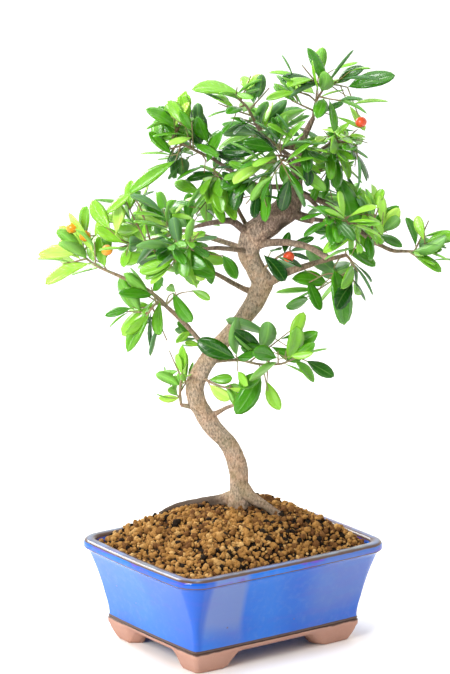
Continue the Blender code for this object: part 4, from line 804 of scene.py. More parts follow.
class Heap:
    """Like shapes that are gathered to become one mesh: points, faces and named values."""

    def __init__(self, *names):
        self.points, self.quads, self.triangles, self.count = [], [], [], 0
        self.values = {name: [] for name in names}

    def add(self, points, quads=(), triangles=(), **values):
        """Takes in a shape whose faces count its own points, with a value or one for each."""
        points = np.asarray(points).reshape(-1, 3)
        self.points.append(points)
        for faces, kept in ((quads, self.quads), (triangles, self.triangles)):
            if len(faces):
                kept.append(np.asarray(faces) + self.count)
        for name, kept in self.values.items():
            kept.append(np.broadcast_to(np.asarray(values[name], float).ravel(), len(points)))
        self.count += len(points)

    def piece(self, name, finish, nodes=()):
        """The mesh object, at the origin, riding on the body and standing for the CAD nodes."""
        mesh = bpy.data.meshes.new(name)
        faces = [face for kept in self.quads + self.triangles for face in kept.tolist()]
        mesh.from_pydata(np.concatenate(self.points).tolist(), [], faces)
        mesh.shade_smooth()
        for key, kept in self.values.items():
            layer = mesh.attributes.new(key, "FLOAT", "POINT")
            layer.data.foreach_set("value", np.concatenate(kept).astype(np.float32))
        mesh.materials.append(finish)
        made = bpy.data.objects.new(name, mesh)
        bpy.context.scene.collection.objects.link(made)
        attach(made, BODY)
        if nodes:
            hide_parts(*nodes)
        return made


def sweep(path, radius, around, relief=1.0):
    """A closed round tube: rings square to the path, each point out by radius times relief."""
    out, ahead = ring_directions(path, around)
    reach = np.broadcast_to(radius[:, None] * relief, (len(path), around))
    ends = path[0], path[-1] + ahead[-1] * radius[-1] * END_ROUND
    return capped(path[:, None] + out * reach[..., None], ends)


# ---- shader sums
class Signal:
    """A socket of a node tree that takes part in sums, each adding a Math node."""

    def __init__(self, nodes, socket):
        self.nodes, self.socket = nodes, socket

    def maths(self, operation, *values):
        """A Math node of the values."""
        return self.nodes.node("ShaderNodeMath", {"operation": operation}, dict(enumerate(values)))

    def __add__(self, other):
        return self.maths("ADD", self, other)

    def __sub__(self, other):
        return self.maths("SUBTRACT", self, other)

    def __rsub__(self, other):
        return self.maths("SUBTRACT", other, self)

    def __mul__(self, other):
        return self.maths("MULTIPLY", self, other)

    __radd__ = __add__
    __rmul__ = __mul__

    def most(self, other):
        """The larger of the two values."""
        return self.maths("MAXIMUM", self, other)

    def fraction(self):
        """What is left of the value over its whole number."""
        return self.maths("FRACT", self)


class Nodes:
    """The node tree of a material or of the world, and the shader that its nodes feed."""

    def __init__(self, tree, shader):
        self.tree, self.shader = tree, tree.nodes[shader]

    def node(self, kind, settings=None, inputs=None, output=0):
        """A node of a type, with its settings, then its sockets' values or links."""
        made = self.tree.nodes.new(kind)
        for key, value in (settings or {}).items():
            setattr(made, key, value)
        for key, value in (inputs or {}).items():
            if isinstance(value, Signal):
                self.tree.links.new(value.socket, made.inputs[key])
            elif made.inputs[key].type == "RGBA":
                made.inputs[key].default_value = (*value, 1)
            else:
                made.inputs[key].default_value = value
        return Signal(self, made.outputs[output])

    def feed(self, socket, signal):
        """Links a signal to one of the shader's own sockets."""
        self.tree.links.new(signal.socket, self.shader.inputs[socket])

    def step(self, signal, low, high, first=0.0, last=1.0):
        """The first value below low, the last one above high, smooth between them."""
        return self.node("ShaderNodeMapRange", {"interpolation_type": "SMOOTHSTEP"}, {
            "Value": signal, "From Min": low, "From Max": high, "To Min": first, "To Max": last})


class Finish(Nodes):
    """A material whose Principled shader is fed by patterns on Object coordinates."""

    def __init__(self, name, **constants):
        self.material = bpy.data.materials.new(name)
        self.material.use_nodes = True
        super().__init__(self.material.node_tree, "Principled BSDF")
        for socket, value in constants.items():
            self.shader.inputs[socket.replace("_", " ")].default_value = value
        self.place = self.node("ShaderNodeTexCoord", output="Object")

    def along(self, axis):
        """The place along the X, Y or Z axis."""
        return self.node("ShaderNodeSeparateXYZ", None, {0: self.place}, axis)

    def stretched(self, scale):
        """The place with its height scaled, which stretches a pattern upright."""
        return self.node("ShaderNodeMapping", None, {"Vector": self.place, "Scale": (1, 1, scale)})

    def value(self, name):
        """One of the piece's own named values."""
        return self.node("ShaderNodeAttribute", {"attribute_name": name}, output="Fac")

    def noise(self, size, detail=2.0, roughness=0.5, place=None):
        """Noise whose spots are about so large, in metres."""
        return self.node("ShaderNodeTexNoise", None, {
            "Vector": place or self.place, "Scale": 1 / size, "Detail": detail,
            "Roughness": roughness})

    def mix(self, share, one, two):
        """The first colour going over to the second."""
        return self.node("ShaderNodeMix", {"data_type": "RGBA"}, {0: share, 6: one, 7: two}, 2)

    def bump(self, height, depth, strength=1.0):
        """Feeds the Normal from a height that is worth so many metres."""
        self.feed("Normal", self.node("ShaderNodeBump", None, {
            "Strength": strength, "Distance": depth, "Height": height}))


def colour_setting(name, default, description):
    """A colour that a user can change."""
    return bpy.props.FloatVectorProperty(
        name=name, description=description, subtype="COLOR", size=3, min=0, max=1, default=default)


def length_setting(name, default, description):
    """A length that a user can change."""
    return bpy.props.FloatProperty(
        name=name, description=description, unit="LENGTH", subtype="DISTANCE", min=0,
        default=default)


def share_setting(name, default, description):
    """A share that a user can change."""
    return bpy.props.FloatProperty(
        name=name, description=description, subtype="FACTOR", min=0, max=1, default=default)


# ---- leaves and twigs
class Thin(NamedTuple):
    """How a kind of twig is drawn: its radius at both ends, the points around it, how green and
    how shaded it is."""
    radii: tuple
    around: int
    youth: float
    shade: float


STEM = Thin(STEM_RADIUS, 8, 0.35, 0.25)
SHOOT = Thin((0.00062, 0.00034), 6, 0.7, 0.1)
SIDE_TWIG = Thin((0.00042, 0.00028), 5, 1.0, 0.0)
STALK = Thin((0.00045, 0.00038), 6, 0.8, 0.0)
THIN_STEPS = 4                      # steps from each row of a twig's path to the next
NODE_SWELL = 0.12                   # of a twig's radius, where it is knotty
NODE_SPACING = 0.0021

CHANCE_SEED = 5                     # of the leaves' shapes and ages
LEAF_MORE = 1.1                     # a drawn leaf's length, in the solids' leaf lengths
LEAF_REACH = 0.985                  # of its length, straight from foot to tip
LEAF_ROWS = np.array((0.0, 0.085, 0.2, 0.36, 0.52, 0.68, 0.83, 0.94, 1.0))
LEAF_COLUMNS = np.array((-1.0, -0.5, 0.0, 0.5, 1.0))
STALK_SHARE = 0.085                 # of a leaf's length, in its stalk
STALK_HALF = 0.00042                # half a stalk's width
BLADE_LEAST = 0.0003                # half a blade's width beside its tip
LEAF_SHAPE = {                      # least and most, dealt to each leaf
    "near": (0.62, 0.95),           # power that narrows the blade towards its foot
    "far": (0.46, 0.74),            # and towards its tip
    "width": (0.33, 0.46),          # of its length
    "fold": (0.08, 0.38),           # rise of its halves from the midrib
    "curl": (-0.02, 0.16),          # how far its tip bends back, of its length
    "wave": (0.0, 0.05),            # of its edges, by its half width
    "swing": (-0.05, 0.05),         # how far its middle is to one side, of its length
}
PILLOW = 0.16                       # how far its halves are rounded up, by their width
CURL_BACK = 0.25                    # share of the curl that raises the blade evenly
WAVE_TURNS = (9, 5)                 # along the blade, and from one leaf to another
AGE_AND_LIGHT_REACH = (0.12, 0.25)            # size of the crown for the leaves' youth and painted light: to the sides and down, and up
OUTER_YOUTH_AND_LIGHT = 0.9                     # how much the outermost leaves are younger and lighter: partly real young growth, partly painted backlight, with the darker inside as painted shade of the crown
AGE_BASE = 0.05
AGE_SPOTS = (0.32, 0.022, 5)        # of groups of leaves: how much, how far apart, their seed
AGE_CHANCE = 0.22


class LeafSettings(bpy.types.PropertyGroup):
    """Colours and shape of the leaves."""
    old: colour_setting("Old leaf", (0.004, 0.06, 0.002), "Upper side of a shaded, older leaf")
    middle: colour_setting("Leaf", (0.055, 0.265, 0.004), "Upper side of most leaves")
    young: colour_setting("Young leaf", (0.25, 0.56, 0.035), "Upper side of a young leaf")
    shoot: colour_setting("Shoot tip", (0.48, 0.77, 0.12), "Upper side of the youngest leaves")
    under: colour_setting("Underside", (0.1, 0.245, 0.085), "Lower side of an older leaf, grey-green")
    fresh: colour_setting("Fresh underside", (0.2, 0.48, 0.06), "Lower side of a young leaf")
    rib: colour_setting("Midrib", (0.3, 0.56, 0.12), "Midrib and main veins")
    thickness: length_setting("Thickness", 0.00035, "At the midrib")
    gloss: share_setting("Roughness", 0.18, "Of the upper side")


def leaf_template():
    """Where a leaf's points are, as shares of its length and half width, and its faces.

    Each row has five upper points and one lower point, under the midrib. The first and the last
    row are one point, the foot and the tip.
    """
    rows = LEAF_ROWS[1:-1]
    along = np.repeat(rows, 6)
    across = np.tile([*LEAF_COLUMNS, 0.0], len(rows))
    lower = np.tile([0, 0, 0, 0, 0, 1.0], len(rows))
    along = np.concatenate([along, [0.0, 1.0]])
    across = np.concatenate([across, [0.0, 0.0]])
    lower = np.concatenate([lower, [0.0, 0.0]])
    quads, triangles = [], []
    loop = (0, 1, 2, 3, 4, 5)
    pairs = list(zip(loop, loop[1:] + loop[:1]))
    for row in range(len(rows) - 1):
        near, far = row * 6, row * 6 + 6
        quads += [(near + a, near + b, far + b, far + a) for a, b in pairs]
    foot, tip, last = len(along) - 2, len(along) - 1, (len(rows) - 1) * 6
    triangles += [(foot, b, a) for a, b in pairs]
    triangles += [(last + a, last + b, tip) for a, b in pairs]
    return along, across, lower, np.array(quads), np.array(triangles)


def leaf_points(leaves, rng, thickness):
    """All leaves' points at once, from each one's foot, direction, face, length and shape.

    The half width at a share t of the blade is width * t^near * (1 - t)^far over its own peak.
    The blade folds up from its midrib, its halves are pillowed, its edges wave, and it bends
    back towards its tip and a little to one side.
    """
    along, across, lower, quads, triangles = leaf_template()
    base, ahead, face = (np.array([leaf[k] for leaf in leaves]) for k in range(3))
    size = np.array([leaf[3] for leaf in leaves])[:, None] * LEAF_MORE
    near, far, width, fold, curl, wave, swing = (
        rng.uniform(*ends, (len(leaves), 1)) for ends in LEAF_SHAPE.values())
    t = np.clip((along - STALK_SHARE) / (1 - STALK_SHARE), 0, 1)
    peak = (near / (near + far)) ** near * (far / (near + far)) ** far
    half = width * size / 2 * np.maximum(t ** near * (1 - t) ** far / peak, 0)
    half = np.where(along <= STALK_SHARE, STALK_HALF, np.maximum(half, BLADE_LEAST))
    half = np.where((along == 0) | (along == 1), 0, half)
    out = across * half
    round_up = 1 - 4 * (np.abs(across) - 0.5) ** 2
    up = fold * np.abs(out) + PILLOW * half * round_up * (across != 0)
    up = up - lower * thickness - curl * size * (t ** 2 - CURL_BACK * t)
    up = up + wave * half * np.sin(WAVE_TURNS[0] * t + WAVE_TURNS[1] * near) * np.abs(across)
    out = out + swing * size * np.sin(math.pi * t)
    on = along * size * LEAF_REACH
    side = np.cross(face, ahead)
    points = sum(way[:, None] * reach[..., None]
                 for way, reach in ((ahead, on), (side, out), (face, up))) + base[:, None]
    return points, (along, across, lower), quads, triangles


def leaf_ages_and_light(feet, rng):
    """From nought for the oldest, darkest leaves, inside the crown, to one for the youngest, lightest
    ones, outside it. The value is partly how young the leaves really are and partly painted light:
    the dark inside stands for the crown's own shade, and the light outside for backlight.

    Each value is the distance from the crown's middle over its reach, plus noise over places, which
    makes groups alike, and chance.
    """
    away = feet - CROWN_MIDDLE
    high = np.where(away[:, 2] < 0, *AGE_AND_LIGHT_REACH)
    outer = np.hypot(away[:, 0] / AGE_AND_LIGHT_REACH[0], away[:, 2] / high)
    much, apart, seed = AGE_SPOTS
    age = OUTER_YOUTH_AND_LIGHT * outer + AGE_BASE + much * noise(feet / apart, seed)
    return np.clip(age + rng.normal(0, AGE_CHANCE, len(feet)), 0, 1)


def add_leaves(blades, leaves, rng, thickness):
    """Adds leaves to a heap, each moved into the CAD's box where it would stand out of it."""
    points, (along, across, lower), quads, triangles = leaf_points(leaves, rng, thickness)
    points = placed(points)
    points += (np.maximum(CAD_BOX[0] - points.min(axis=1), 0)
               - np.maximum(points.max(axis=1) - CAD_BOX[1], 0))[:, None]
    ages_and_light = leaf_ages_and_light(np.array([leaf[0] for leaf in leaves]), rng)
    count, corners = len(leaves), len(along)
    start = np.arange(count)[:, None, None] * corners
    blades.add(points, (quads + start).reshape(-1, 4), (triangles + start).reshape(-1, 3),
               age=np.repeat(ages_and_light, corners), across=np.tile(np.abs(across), count),
               along=np.tile(along, count), lower=np.tile(lower, count))


def add_twig(shoots, rows, kind):
    """Adds a thin tapering tube through a few rows of the tree's axes, slightly knotty."""
    path = placed(smooth(rows, THIN_STEPS))
    radius = np.linspace(*kind.radii, len(path))
    radius = radius * (1 + NODE_SWELL * noise(path / NODE_SPACING, 7))
    shoots.add(*sweep(path, radius, kind.around), youth=kind.youth, cut=0, shade=kind.shade)


def leaf_finish(settings):
    """Leaf: age, partly painted light, takes its upper side through four greens, with a pale midrib
    and side veins.
    """
    made = Finish("leaf", Roughness=settings.gloss, Specular_IOR_Level=0.5,
                  Subsurface_Weight=0.25, Subsurface_Radius=(0.7, 1.0, 0.15),
                  Subsurface_Scale=0.0014)
    # age: older and darker inside the crown, younger and lighter outside; the dark inside is partly
    # painted shade of the crown and the light outside partly painted backlight
    age = made.value("age") + (made.noise(0.006, 3) - 0.5) * 0.18
    upper = made.mix(made.step(age, 0.0, 0.45), settings.old, settings.middle)
    upper = made.mix(made.step(age, 0.38, 0.75), upper, settings.young)
    upper = made.mix(made.step(age, 0.74, 1.05), upper, settings.shoot)
    across = made.value("across")
    rib = 1 - made.step(across, 0.035, 0.12)
    along = made.value("along")
    slant = (along * 8.0 - across * 1.6).fraction()
    vein = (1 - made.step(slant, 0.0, 0.16)) * made.step(across, 0.02, 0.3)
    green = made.mix(rib * 0.18, upper, settings.rib)
    green = made.mix(vein * 0.1, green, settings.rib)
    under = made.mix(made.step(age, 0.25, 0.75), settings.under, settings.fresh)
    under = made.mix(rib * 0.4, under, settings.rib)
    side = made.step(made.value("lower"), 0.01, 0.08)
    made.feed("Base Color", made.mix(side, green, under))
    made.feed("Roughness", side * 0.26 + settings.gloss + made.noise(0.003) * 0.08)
    made.bump(rib * 0.6 - vein * 0.5 + made.noise(0.0012, 2) * 0.35, 0.00012)
    return made.material


class BONSAI_OT_leaves(bpy.types.Operator):
    """Grow the leaves and twigs of every mass of foliage"""
    bl_idname = "bonsai.leaves"
    bl_label = "Leaves and twigs"

    def execute(self, context):
        settings = context.scene.bonsai_leaves
        lines = limb_lines()
        rng = np.random.default_rng(CHANCE_SEED)
        blades = Heap("age", "across", "along", "lower")
        shoots = Heap("youth", "cut", "shade")
        for name in MASSES:
            twigs, leaves, stalks, growth, limbs = grow(name, lines)
            finer = grow_finer(name, twigs, leaves, growth, limbs)
            add_leaves(blades, leaves, rng, settings.thickness)
            add_twig(shoots, lines[name][0][:, :3], STEM)
            for group, kind in ((twigs, SHOOT), (finer, SIDE_TWIG), (stalks, STALK)):
                for rows in group:
                    add_twig(shoots, rows, kind)
        blades.piece("leaf_blades", leaf_finish(settings), list(MASSES))
        shoots.piece("leaf_twigs", bark_finish(context.scene.bonsai_bark, "young_bark"))
        return {"FINISHED"}


# ---- bark
KNUCKLE_HEIGHT = 0.243              # above which the trunk's bark is worn
HOLLOW = (0.0305, 0.003, 0.2645)    # middle of the dark spot below the knuckle, painted shade of a recess that the mesh lacks
HOLLOW_RADIUS = 0.005
WORN_FROM = (0.015, 0.036)          # over the knuckle's height, where the wear begins and is full
MOSS_TO = (0.004, 0.075)            # over the ground, where moss is full and where it ends
DARK_FOOT_TO = (0.001, 0.011)             # the same for the dark foot
NUT_BROWN = (0.25, 0.13, 0.06)      # of young wood, beside its green
ROOT_SHADE = (0.35, 0.92, 0.85)     # how dark each surface root is, away from the trunk
ROOT_FADE = (-0.4, 4.0)             # brings the shade in over the root's first quarter
BOUGH_SHADE = 0.35
THIN_BOUGH = 0.0014                 # radius under which a bough's skin is still partly green
THIN_YOUTH = 0.25
COLLAR_MORE = (1.5, 0.0012)         # a collar's width: boughs' radii, and a fixed part
COLLAR_HEIGHT = 0.55                # in the bough's own radii
FOOT_SWELL = (0.35, 0.004)          # a bough's swelling at its foot: of its radius, and how long


class Relief(NamedTuple):
    """How a kind of limb is drawn: steps between its rows, points around, relief and seed."""
    steps: int
    around: int
    depth: float
    seed: int


TRUNK_RELIEF = Relief(18, 56, 1.0, 11)
ROOT_RELIEF = Relief(14, 28, 1.4, 31)
BOUGH_RELIEF = Relief(12, 20, 0.55, 51)


class BarkSettings(bpy.types.PropertyGroup):
    """Colours and relief of the bark."""
    grey: colour_setting("Grey", (0.36, 0.285, 0.21), "Weathered bark")
    tan: colour_setting("Tan", (0.45, 0.3, 0.195), "Fresher bark between fissures")
    light: colour_setting("Specks", (0.64, 0.47, 0.35), "Raised specks of the bark")
    dark: colour_setting("Fissure", (0.075, 0.05, 0.035), "Fissures and knots")
    young: colour_setting("Young wood", (0.24, 0.27, 0.09), "Green skin of young twigs")
    moss: colour_setting("Moss", (0.165, 0.15, 0.06), "Moss tint near the ground")
    mauve: colour_setting("Mauve", (0.185, 0.12, 0.105), "Worn bark of the knuckle and above")
    cut: colour_setting("Cut wood", (0.56, 0.34, 0.3), "Pruned ends")
    relief: length_setting("Relief", 0.0004, "Height of the bark's ridges")


def bark_finish(settings, name):
    """Bark: tan and grey blotches, dark fissures lengthwise, moss low down, pale pruned ends.

    Above the knuckle it is worn, torn and mauve, and a dark spot below it is painted shade of a
    recess. Its own shade value darkens roots and boughs.
    """
    made = Finish(name, Roughness=0.85, Specular_IOR_Level=0.25)
    youth, height = made.value("youth"), made.along("Z")
    skin = made.mix(made.step(made.noise(0.009, 4, 0.6), 0.38, 0.62), settings.grey, settings.tan)
    stain = made.step(made.noise(0.016, 3, 0.6), 0.45, 0.68)
    skin = made.mix(stain * 0.3, skin, settings.moss)
    worn = made.step(height + made.noise(0.02, 2) * 0.03,
                     *(KNUCKLE_HEIGHT + more for more in WORN_FROM))
    skin = made.mix(worn * 0.8, skin, settings.mauve)
    torn = made.step(made.noise(0.0055, 4, 0.7), 0.5, 0.66) * worn
    skin = made.mix(torn * 0.75, skin, settings.dark)
    speck = made.noise(0.0011, 3, 0.65, made.stretched(0.55))
    raised = made.step(speck, 0.5, 0.64) * (0.7 - worn * 0.35)
    skin = made.mix(raised, skin, settings.light)
    skin = made.mix(made.step(1 - speck, 0.51, 0.66) * 0.65, skin, settings.dark)
    low = 1 - made.step(height, *(GROUND_HEIGHT + more for more in MOSS_TO))
    damp = low * made.step(made.noise(0.011, 3), 0.46, 0.66)
    skin = made.mix(damp * 0.45, skin, settings.moss)
    # the trunk goes darker towards its foot at the soil line
    foot = 1 - made.step(height + made.noise(0.005, 2) * 0.008,
                         *(GROUND_HEIGHT + more for more in DARK_FOOT_TO))
    skin = made.mix(foot * 0.6, skin, settings.dark)
    # painted shade: a dark spot where a recess below the knuckle would lie in shade
    away = made.node("ShaderNodeVectorMath", {"operation": "DISTANCE"}, {
        0: made.place, 1: tuple(placed(HOLLOW))}, "Value")
    painted_hollow_shade = 1 - made.step(away + made.noise(0.003, 2) * 0.004, HOLLOW_RADIUS * 0.8,
                           HOLLOW_RADIUS * 1.6)
    skin = made.mix(made.value("shade").most(painted_hollow_shade * 0.9), skin, settings.dark)
    green = made.mix(made.step(made.noise(0.005, 2), 0.4, 0.65), settings.young, NUT_BROWN)
    skin = made.mix(youth * 0.9, skin, green)
    made.feed("Base Color", made.mix(made.value("cut"), skin, settings.cut))
    made.feed("Roughness", 0.88 - youth * 0.3)
    made.bump(speck + made.noise(0.003, 3, 0.6) * 1.4, 0.0005, 0.9)
    return made.material


def bark_relief(path, radius, kind, height, number=0):
    """How far each ring point stands out, as a share of the radius.

    Ridges run lengthwise: noise over the point's place on a unit circle and its distance along
    the limb, stretched along it. Finer ridges, broad swellings and a wandering oval are added.
    """
    gone, seed = travelled(path), kind.seed + number
    angle = even_angles(kind.around)
    where = np.stack(np.broadcast_arrays(np.cos(angle), np.sin(angle), gone[:, None]), axis=-1)
    ridges = 1 - 2 * np.abs(noise(where * (2.6, 2.6, 130), seed))
    fine = noise(where * (5.5, 5.5, 420), seed + 1)
    broad = noise(where * (1.1, 1.1, 60), seed + 2)
    oval = np.cos(2 * angle + 3 * noise(np.stack([gone * 30] * 3, axis=-1), seed + 3)[:, None])
    deep = kind.depth * height / radius[:, None]
    return 1 + deep * (0.7 * ridges + 0.45 * fine) + 0.055 * broad + 0.05 * oval


def collars(path, radius, around, limb):
    """Swellings where boughs leave a limb: a round hill towards each bough, by distance."""
    skin = path[:, None] + ring_directions(path, around)[0] * radius[:, None, None]
    total = np.zeros(skin.shape[:2])
    for bough in BOUGHS.values():
        if bough.parent == limb:
            foot, toward = placed(np.array(bough.path[:2]))
            at = foot + unit(toward - foot) * radius[np.argmin(np.linalg.norm(path - foot, axis=1))]
            wide = COLLAR_MORE[0] * bough.radii[0] + COLLAR_MORE[1]
            away = np.linalg.norm(skin - at, axis=2) / wide
            total += COLLAR_HEIGHT * bough.radii[0] * np.exp(-away ** 2)
    return total / radius[:, None]


class BONSAI_OT_bark(bpy.types.Operator):
    """Sweep the trunk, its surface roots, the boughs and the stubs with bark relief"""
    bl_idname = "bonsai.bark"
    bl_label = "Trunk and boughs"

    def execute(self, context):
        settings = context.scene.bonsai_bark
        finish = bark_finish(settings, "bark")
        trunk = Heap("youth", "cut", "shade")
        self.trunk(trunk, settings.relief)
        for number in range(len(SURFACE_ROOTS)):
            self.root(trunk, settings.relief, number)
        trunk.piece("bark_trunk", finish, ["trunk"])
        limbs = Heap("youth", "cut", "shade")
        for number, name in enumerate(BOUGHS):
            self.bough(limbs, settings.relief, number, name)
        limbs.piece("bark_boughs", finish, list(BOUGHS))
        return {"FINISHED"}

    @staticmethod
    def trunk(heap, height):
        """Adds the trunk, swollen where boughs leave it."""
        rows = smooth(TRUNK, TRUNK_RELIEF.steps)
        path, radius = placed(rows), rows[:, 3]
        relief = bark_relief(path, radius, TRUNK_RELIEF, height)
        relief = relief + collars(path, radius, TRUNK_RELIEF.around, "trunk")
        heap.add(*sweep(path, radius, TRUNK_RELIEF.around, relief), youth=0, cut=0, shade=0)

    @staticmethod
    def root(heap, height, number):
        """Adds a surface root, whose shade comes in gently away from the trunk."""
        rows = smooth(SURFACE_ROOTS[number], ROOT_RELIEF.steps)
        path, radius = placed(rows), rows[:, 3]
        relief = bark_relief(path, radius, ROOT_RELIEF, height, number)
        part = np.clip(np.linspace(*ROOT_FADE, len(path)), 0, 1)
        shade = np.repeat(ROOT_SHADE[number] * eased(part), ROOT_RELIEF.around)
        heap.add(*sweep(path, radius, ROOT_RELIEF.around, relief), youth=0, cut=0,
                 shade=np.append(shade, (0, ROOT_SHADE[number])))

    @staticmethod
    def bough(heap, height, number, name):
        """Adds a bough, thicker beside its foot. A stub's last ring and end point are cut wood."""
        bough, around = BOUGHS[name], BOUGH_RELIEF.around
        rows = tapered(bough.path, bough.radii, BOUGH_RELIEF.steps)
        path, radius = placed(rows), rows[:, 3]
        much, reach = FOOT_SWELL
        radius = radius * (1 + much * np.exp(-(travelled(path) / reach - 1) ** 2))
        relief = bark_relief(path, radius, BOUGH_RELIEF, height, number)
        cut = np.zeros(len(path) * around + 2)
        if name.startswith("stub"):
            cut[-1] = 1
            cut[-around - 2:-2] = 0.5
        youth = THIN_YOUTH if bough.radii[0] < THIN_BOUGH else 0.0
        heap.add(*sweep(path, radius, around, relief), youth=youth, cut=cut,
                 shade=BOUGH_SHADE * (1 - cut))


# ---- berries
BERRY_ROWS = 14
BERRY_AROUND = 20
BERRY_POLE = 0.04                   # angle from each end point to the first ring
BERRY_WIDE = 0.98                   # of the berry's radius, to its sides
BERRY_HIGH = 0.9                    # and along its axis
BERRY_PEAR = 0.04                   # how much wider its stalk's half is
BERRY_HANG = (0.25, -0.15, -1.0)    # the way its dried crown points
CROWN_FROM = 2.72                   # angle from the stalk, from which the dried crown begins
CROWN_POINTS = (5, 0.5)             # how many, and how far they stand out
CROWN_SINK = 0.0004                 # of its middle
EARLY_MASSES = ("leaves_far_left", "leaves_left_mid")       # whose berries are still orange
RIPENESS = (0.15, 0.85)             # of an early berry and of the others


class BerrySettings(bpy.types.PropertyGroup):
    """Colours of the berries."""
    ripe: colour_setting("Ripe", (0.78, 0.09, 0.03), "Ripe berry")
    orange: colour_setting("Orange", (0.9, 0.32, 0.02), "Berry that is still turning")
    calyx: colour_setting("Calyx", (0.09, 0.04, 0.02), "Dried crown at the berry's end")


def berry_finish(settings):
    """Berry: a glossy skin from orange to red, and a dry brown crown at its end."""
    made = Finish("berry", Roughness=0.28, Subsurface_Weight=0.15,
                  Subsurface_Radius=(1.0, 0.4, 0.2), Subsurface_Scale=0.001)
    skin = made.mix(made.step(made.value("ripe") + (made.noise(0.003) - 0.5) * 0.4, 0.2, 0.8),
                    settings.orange, settings.ripe)
    crown = made.value("crown")
    made.feed("Base Color", made.mix(crown, skin, settings.calyx))
    made.feed("Roughness", crown * 0.5 + 0.28)
    return made.material


def berry_shape():
    """A berry about its own middle, and which of its points are its dried crown.

    It is a ball drawn by angles from its stalk, a little flat and pear-shaped. Its last rings
    go out and in as a star.
    """
    polar = np.linspace(BERRY_POLE, math.pi - BERRY_POLE, BERRY_ROWS)
    angle = even_angles(BERRY_AROUND)
    axis = unit(np.array(BERRY_HANG))
    one = unit(np.cross(axis, (0.0, 1.0, 0.0)))
    two = np.cross(axis, one)
    crowned = (polar > CROWN_FROM).astype(float)
    count, far = CROWN_POINTS
    star = 1 + far * np.cos(count * angle) * crowned[:, None]
    wide = BERRY_RADIUS * BERRY_WIDE * np.sin(polar) * (1 - BERRY_PEAR * np.cos(polar))
    deep = -BERRY_RADIUS * BERRY_HIGH * np.cos(polar)
    reach = wide[:, None] * star
    rings = (axis * deep[:, None, None] + one * (reach * np.cos(angle))[..., None]
             + two * (reach * np.sin(angle))[..., None])
    ends = axis * np.array((deep[0], deep[-1] - CROWN_SINK))[:, None]
    return rings, ends, np.append(np.repeat(crowned, BERRY_AROUND), (0, 1))


class BONSAI_OT_berries(bpy.types.Operator):
    """Hang the berries on their stalks"""
    bl_idname = "bonsai.berries"
    bl_label = "Berries"

    def execute(self, context):
        heap = Heap("ripe", "crown")
        rings, ends, crown = berry_shape()
        for name, mass in MASSES.items():
            for berry in mass.berries:
                points, quads, caps = capped(rings + berry, ends + berry)
                heap.add(placed(points), quads, caps, crown=crown,
                         ripe=RIPENESS[name not in EARLY_MASSES])
        heap.piece("berries", berry_finish(context.scene.bonsai_berries))
        return {"FINISHED"}


# ---- pot
CORNER_POINTS = 14
SIDE_POINTS = 28
WALL_ROWS = 22
INSIDE_HEIGHTS = (0.056, 0.05, 0.042)       # of the wall's inner rows, which the soil hides
# rows of a profile: out and up from a place, and how brown the arris is
WALL_FOOT_ROWS = ((-0.006, -0.0002, 0), (-0.0006, -0.0002, 1), (0.0004, 0.0002, 1),
                  (0.0006, 0.0008, 1), (0.0003, 0.0014, 0.8), (0.0002, 0.0022, 0))
BAND_ROWS = ((-0.0024, -0.0019, 0.15), (-0.0012, -0.0011, 0.2), (-0.0003, -0.0004, 0.55),
             (0, 0, 0.7), (0, 0.0005, 0.2), (-0.0001, 0.0014, 0))
RIM_ROWS = ((-0.0001, -0.0026, 0), (-0.0004, -0.0018, 0.35), (-0.001, -0.001, 0.75),
            (-0.0017, -0.0004, 0.5), (-0.0026, -0.0001, 0.42), (-0.004, 0, 0.42))
INNER_ROWS = ((0.0018, -0.0001, 0.5), (0.001, -0.0004, 0.8), (0.0004, -0.001, 1),
              (0, -0.002, 0.5), (-0.0004, -0.004, 0.1))
BASE_TOP = WALL_FOOT_HEIGHT - 0.0001
BASE_ROWS = ((BASE_BAND_OUT - 0.0004, BASE_TOP, 1), (BASE_BAND_OUT, BASE_TOP - 0.0006, 0.7),
             (BASE_BAND_OUT, BASE_TOP - 0.002, 0.15), (BASE_BAND_OUT - 0.0001, 0.0105, 0),
             (0, 0.0092, 0), (-0.0006, 0.007, 0), (-0.0016, 0.0045, 0), (-0.0028, 0.002, 0),
             (-0.0035, 0.0006, 0), (-0.0041, 0, 0), (-0.008, 0, 0), (-FOOT_THICKNESS, 0, 0),
             (-FOOT_THICKNESS, 0.005, 0), (-FOOT_THICKNESS, BASE_TOP, 0))
# places on the pot's long and short axes, between which the glaze goes over from one to another: pale
# bands of painted reflection on the front long side, and a deeper blue by the front corner
PAINTED_REFLECTION_FROM, PAINTED_REFLECTION_TO = (-0.0575, -0.055), (-0.029, -0.023)
SECOND_PAINTED_REFLECTION = (0.014, 0.04)
PAINTED_REFLECTION_SIDE = (-0.05, -0.046)
CORNER_BLUE_SIDE, CORNER_BLUE_END = (-0.058, 0.01), (-0.0635, -0.059)
CLAY_SHADES = ((0.42, 0.2, 0.14), (0.68, 0.42, 0.32))   # its darker patches and its pale grit


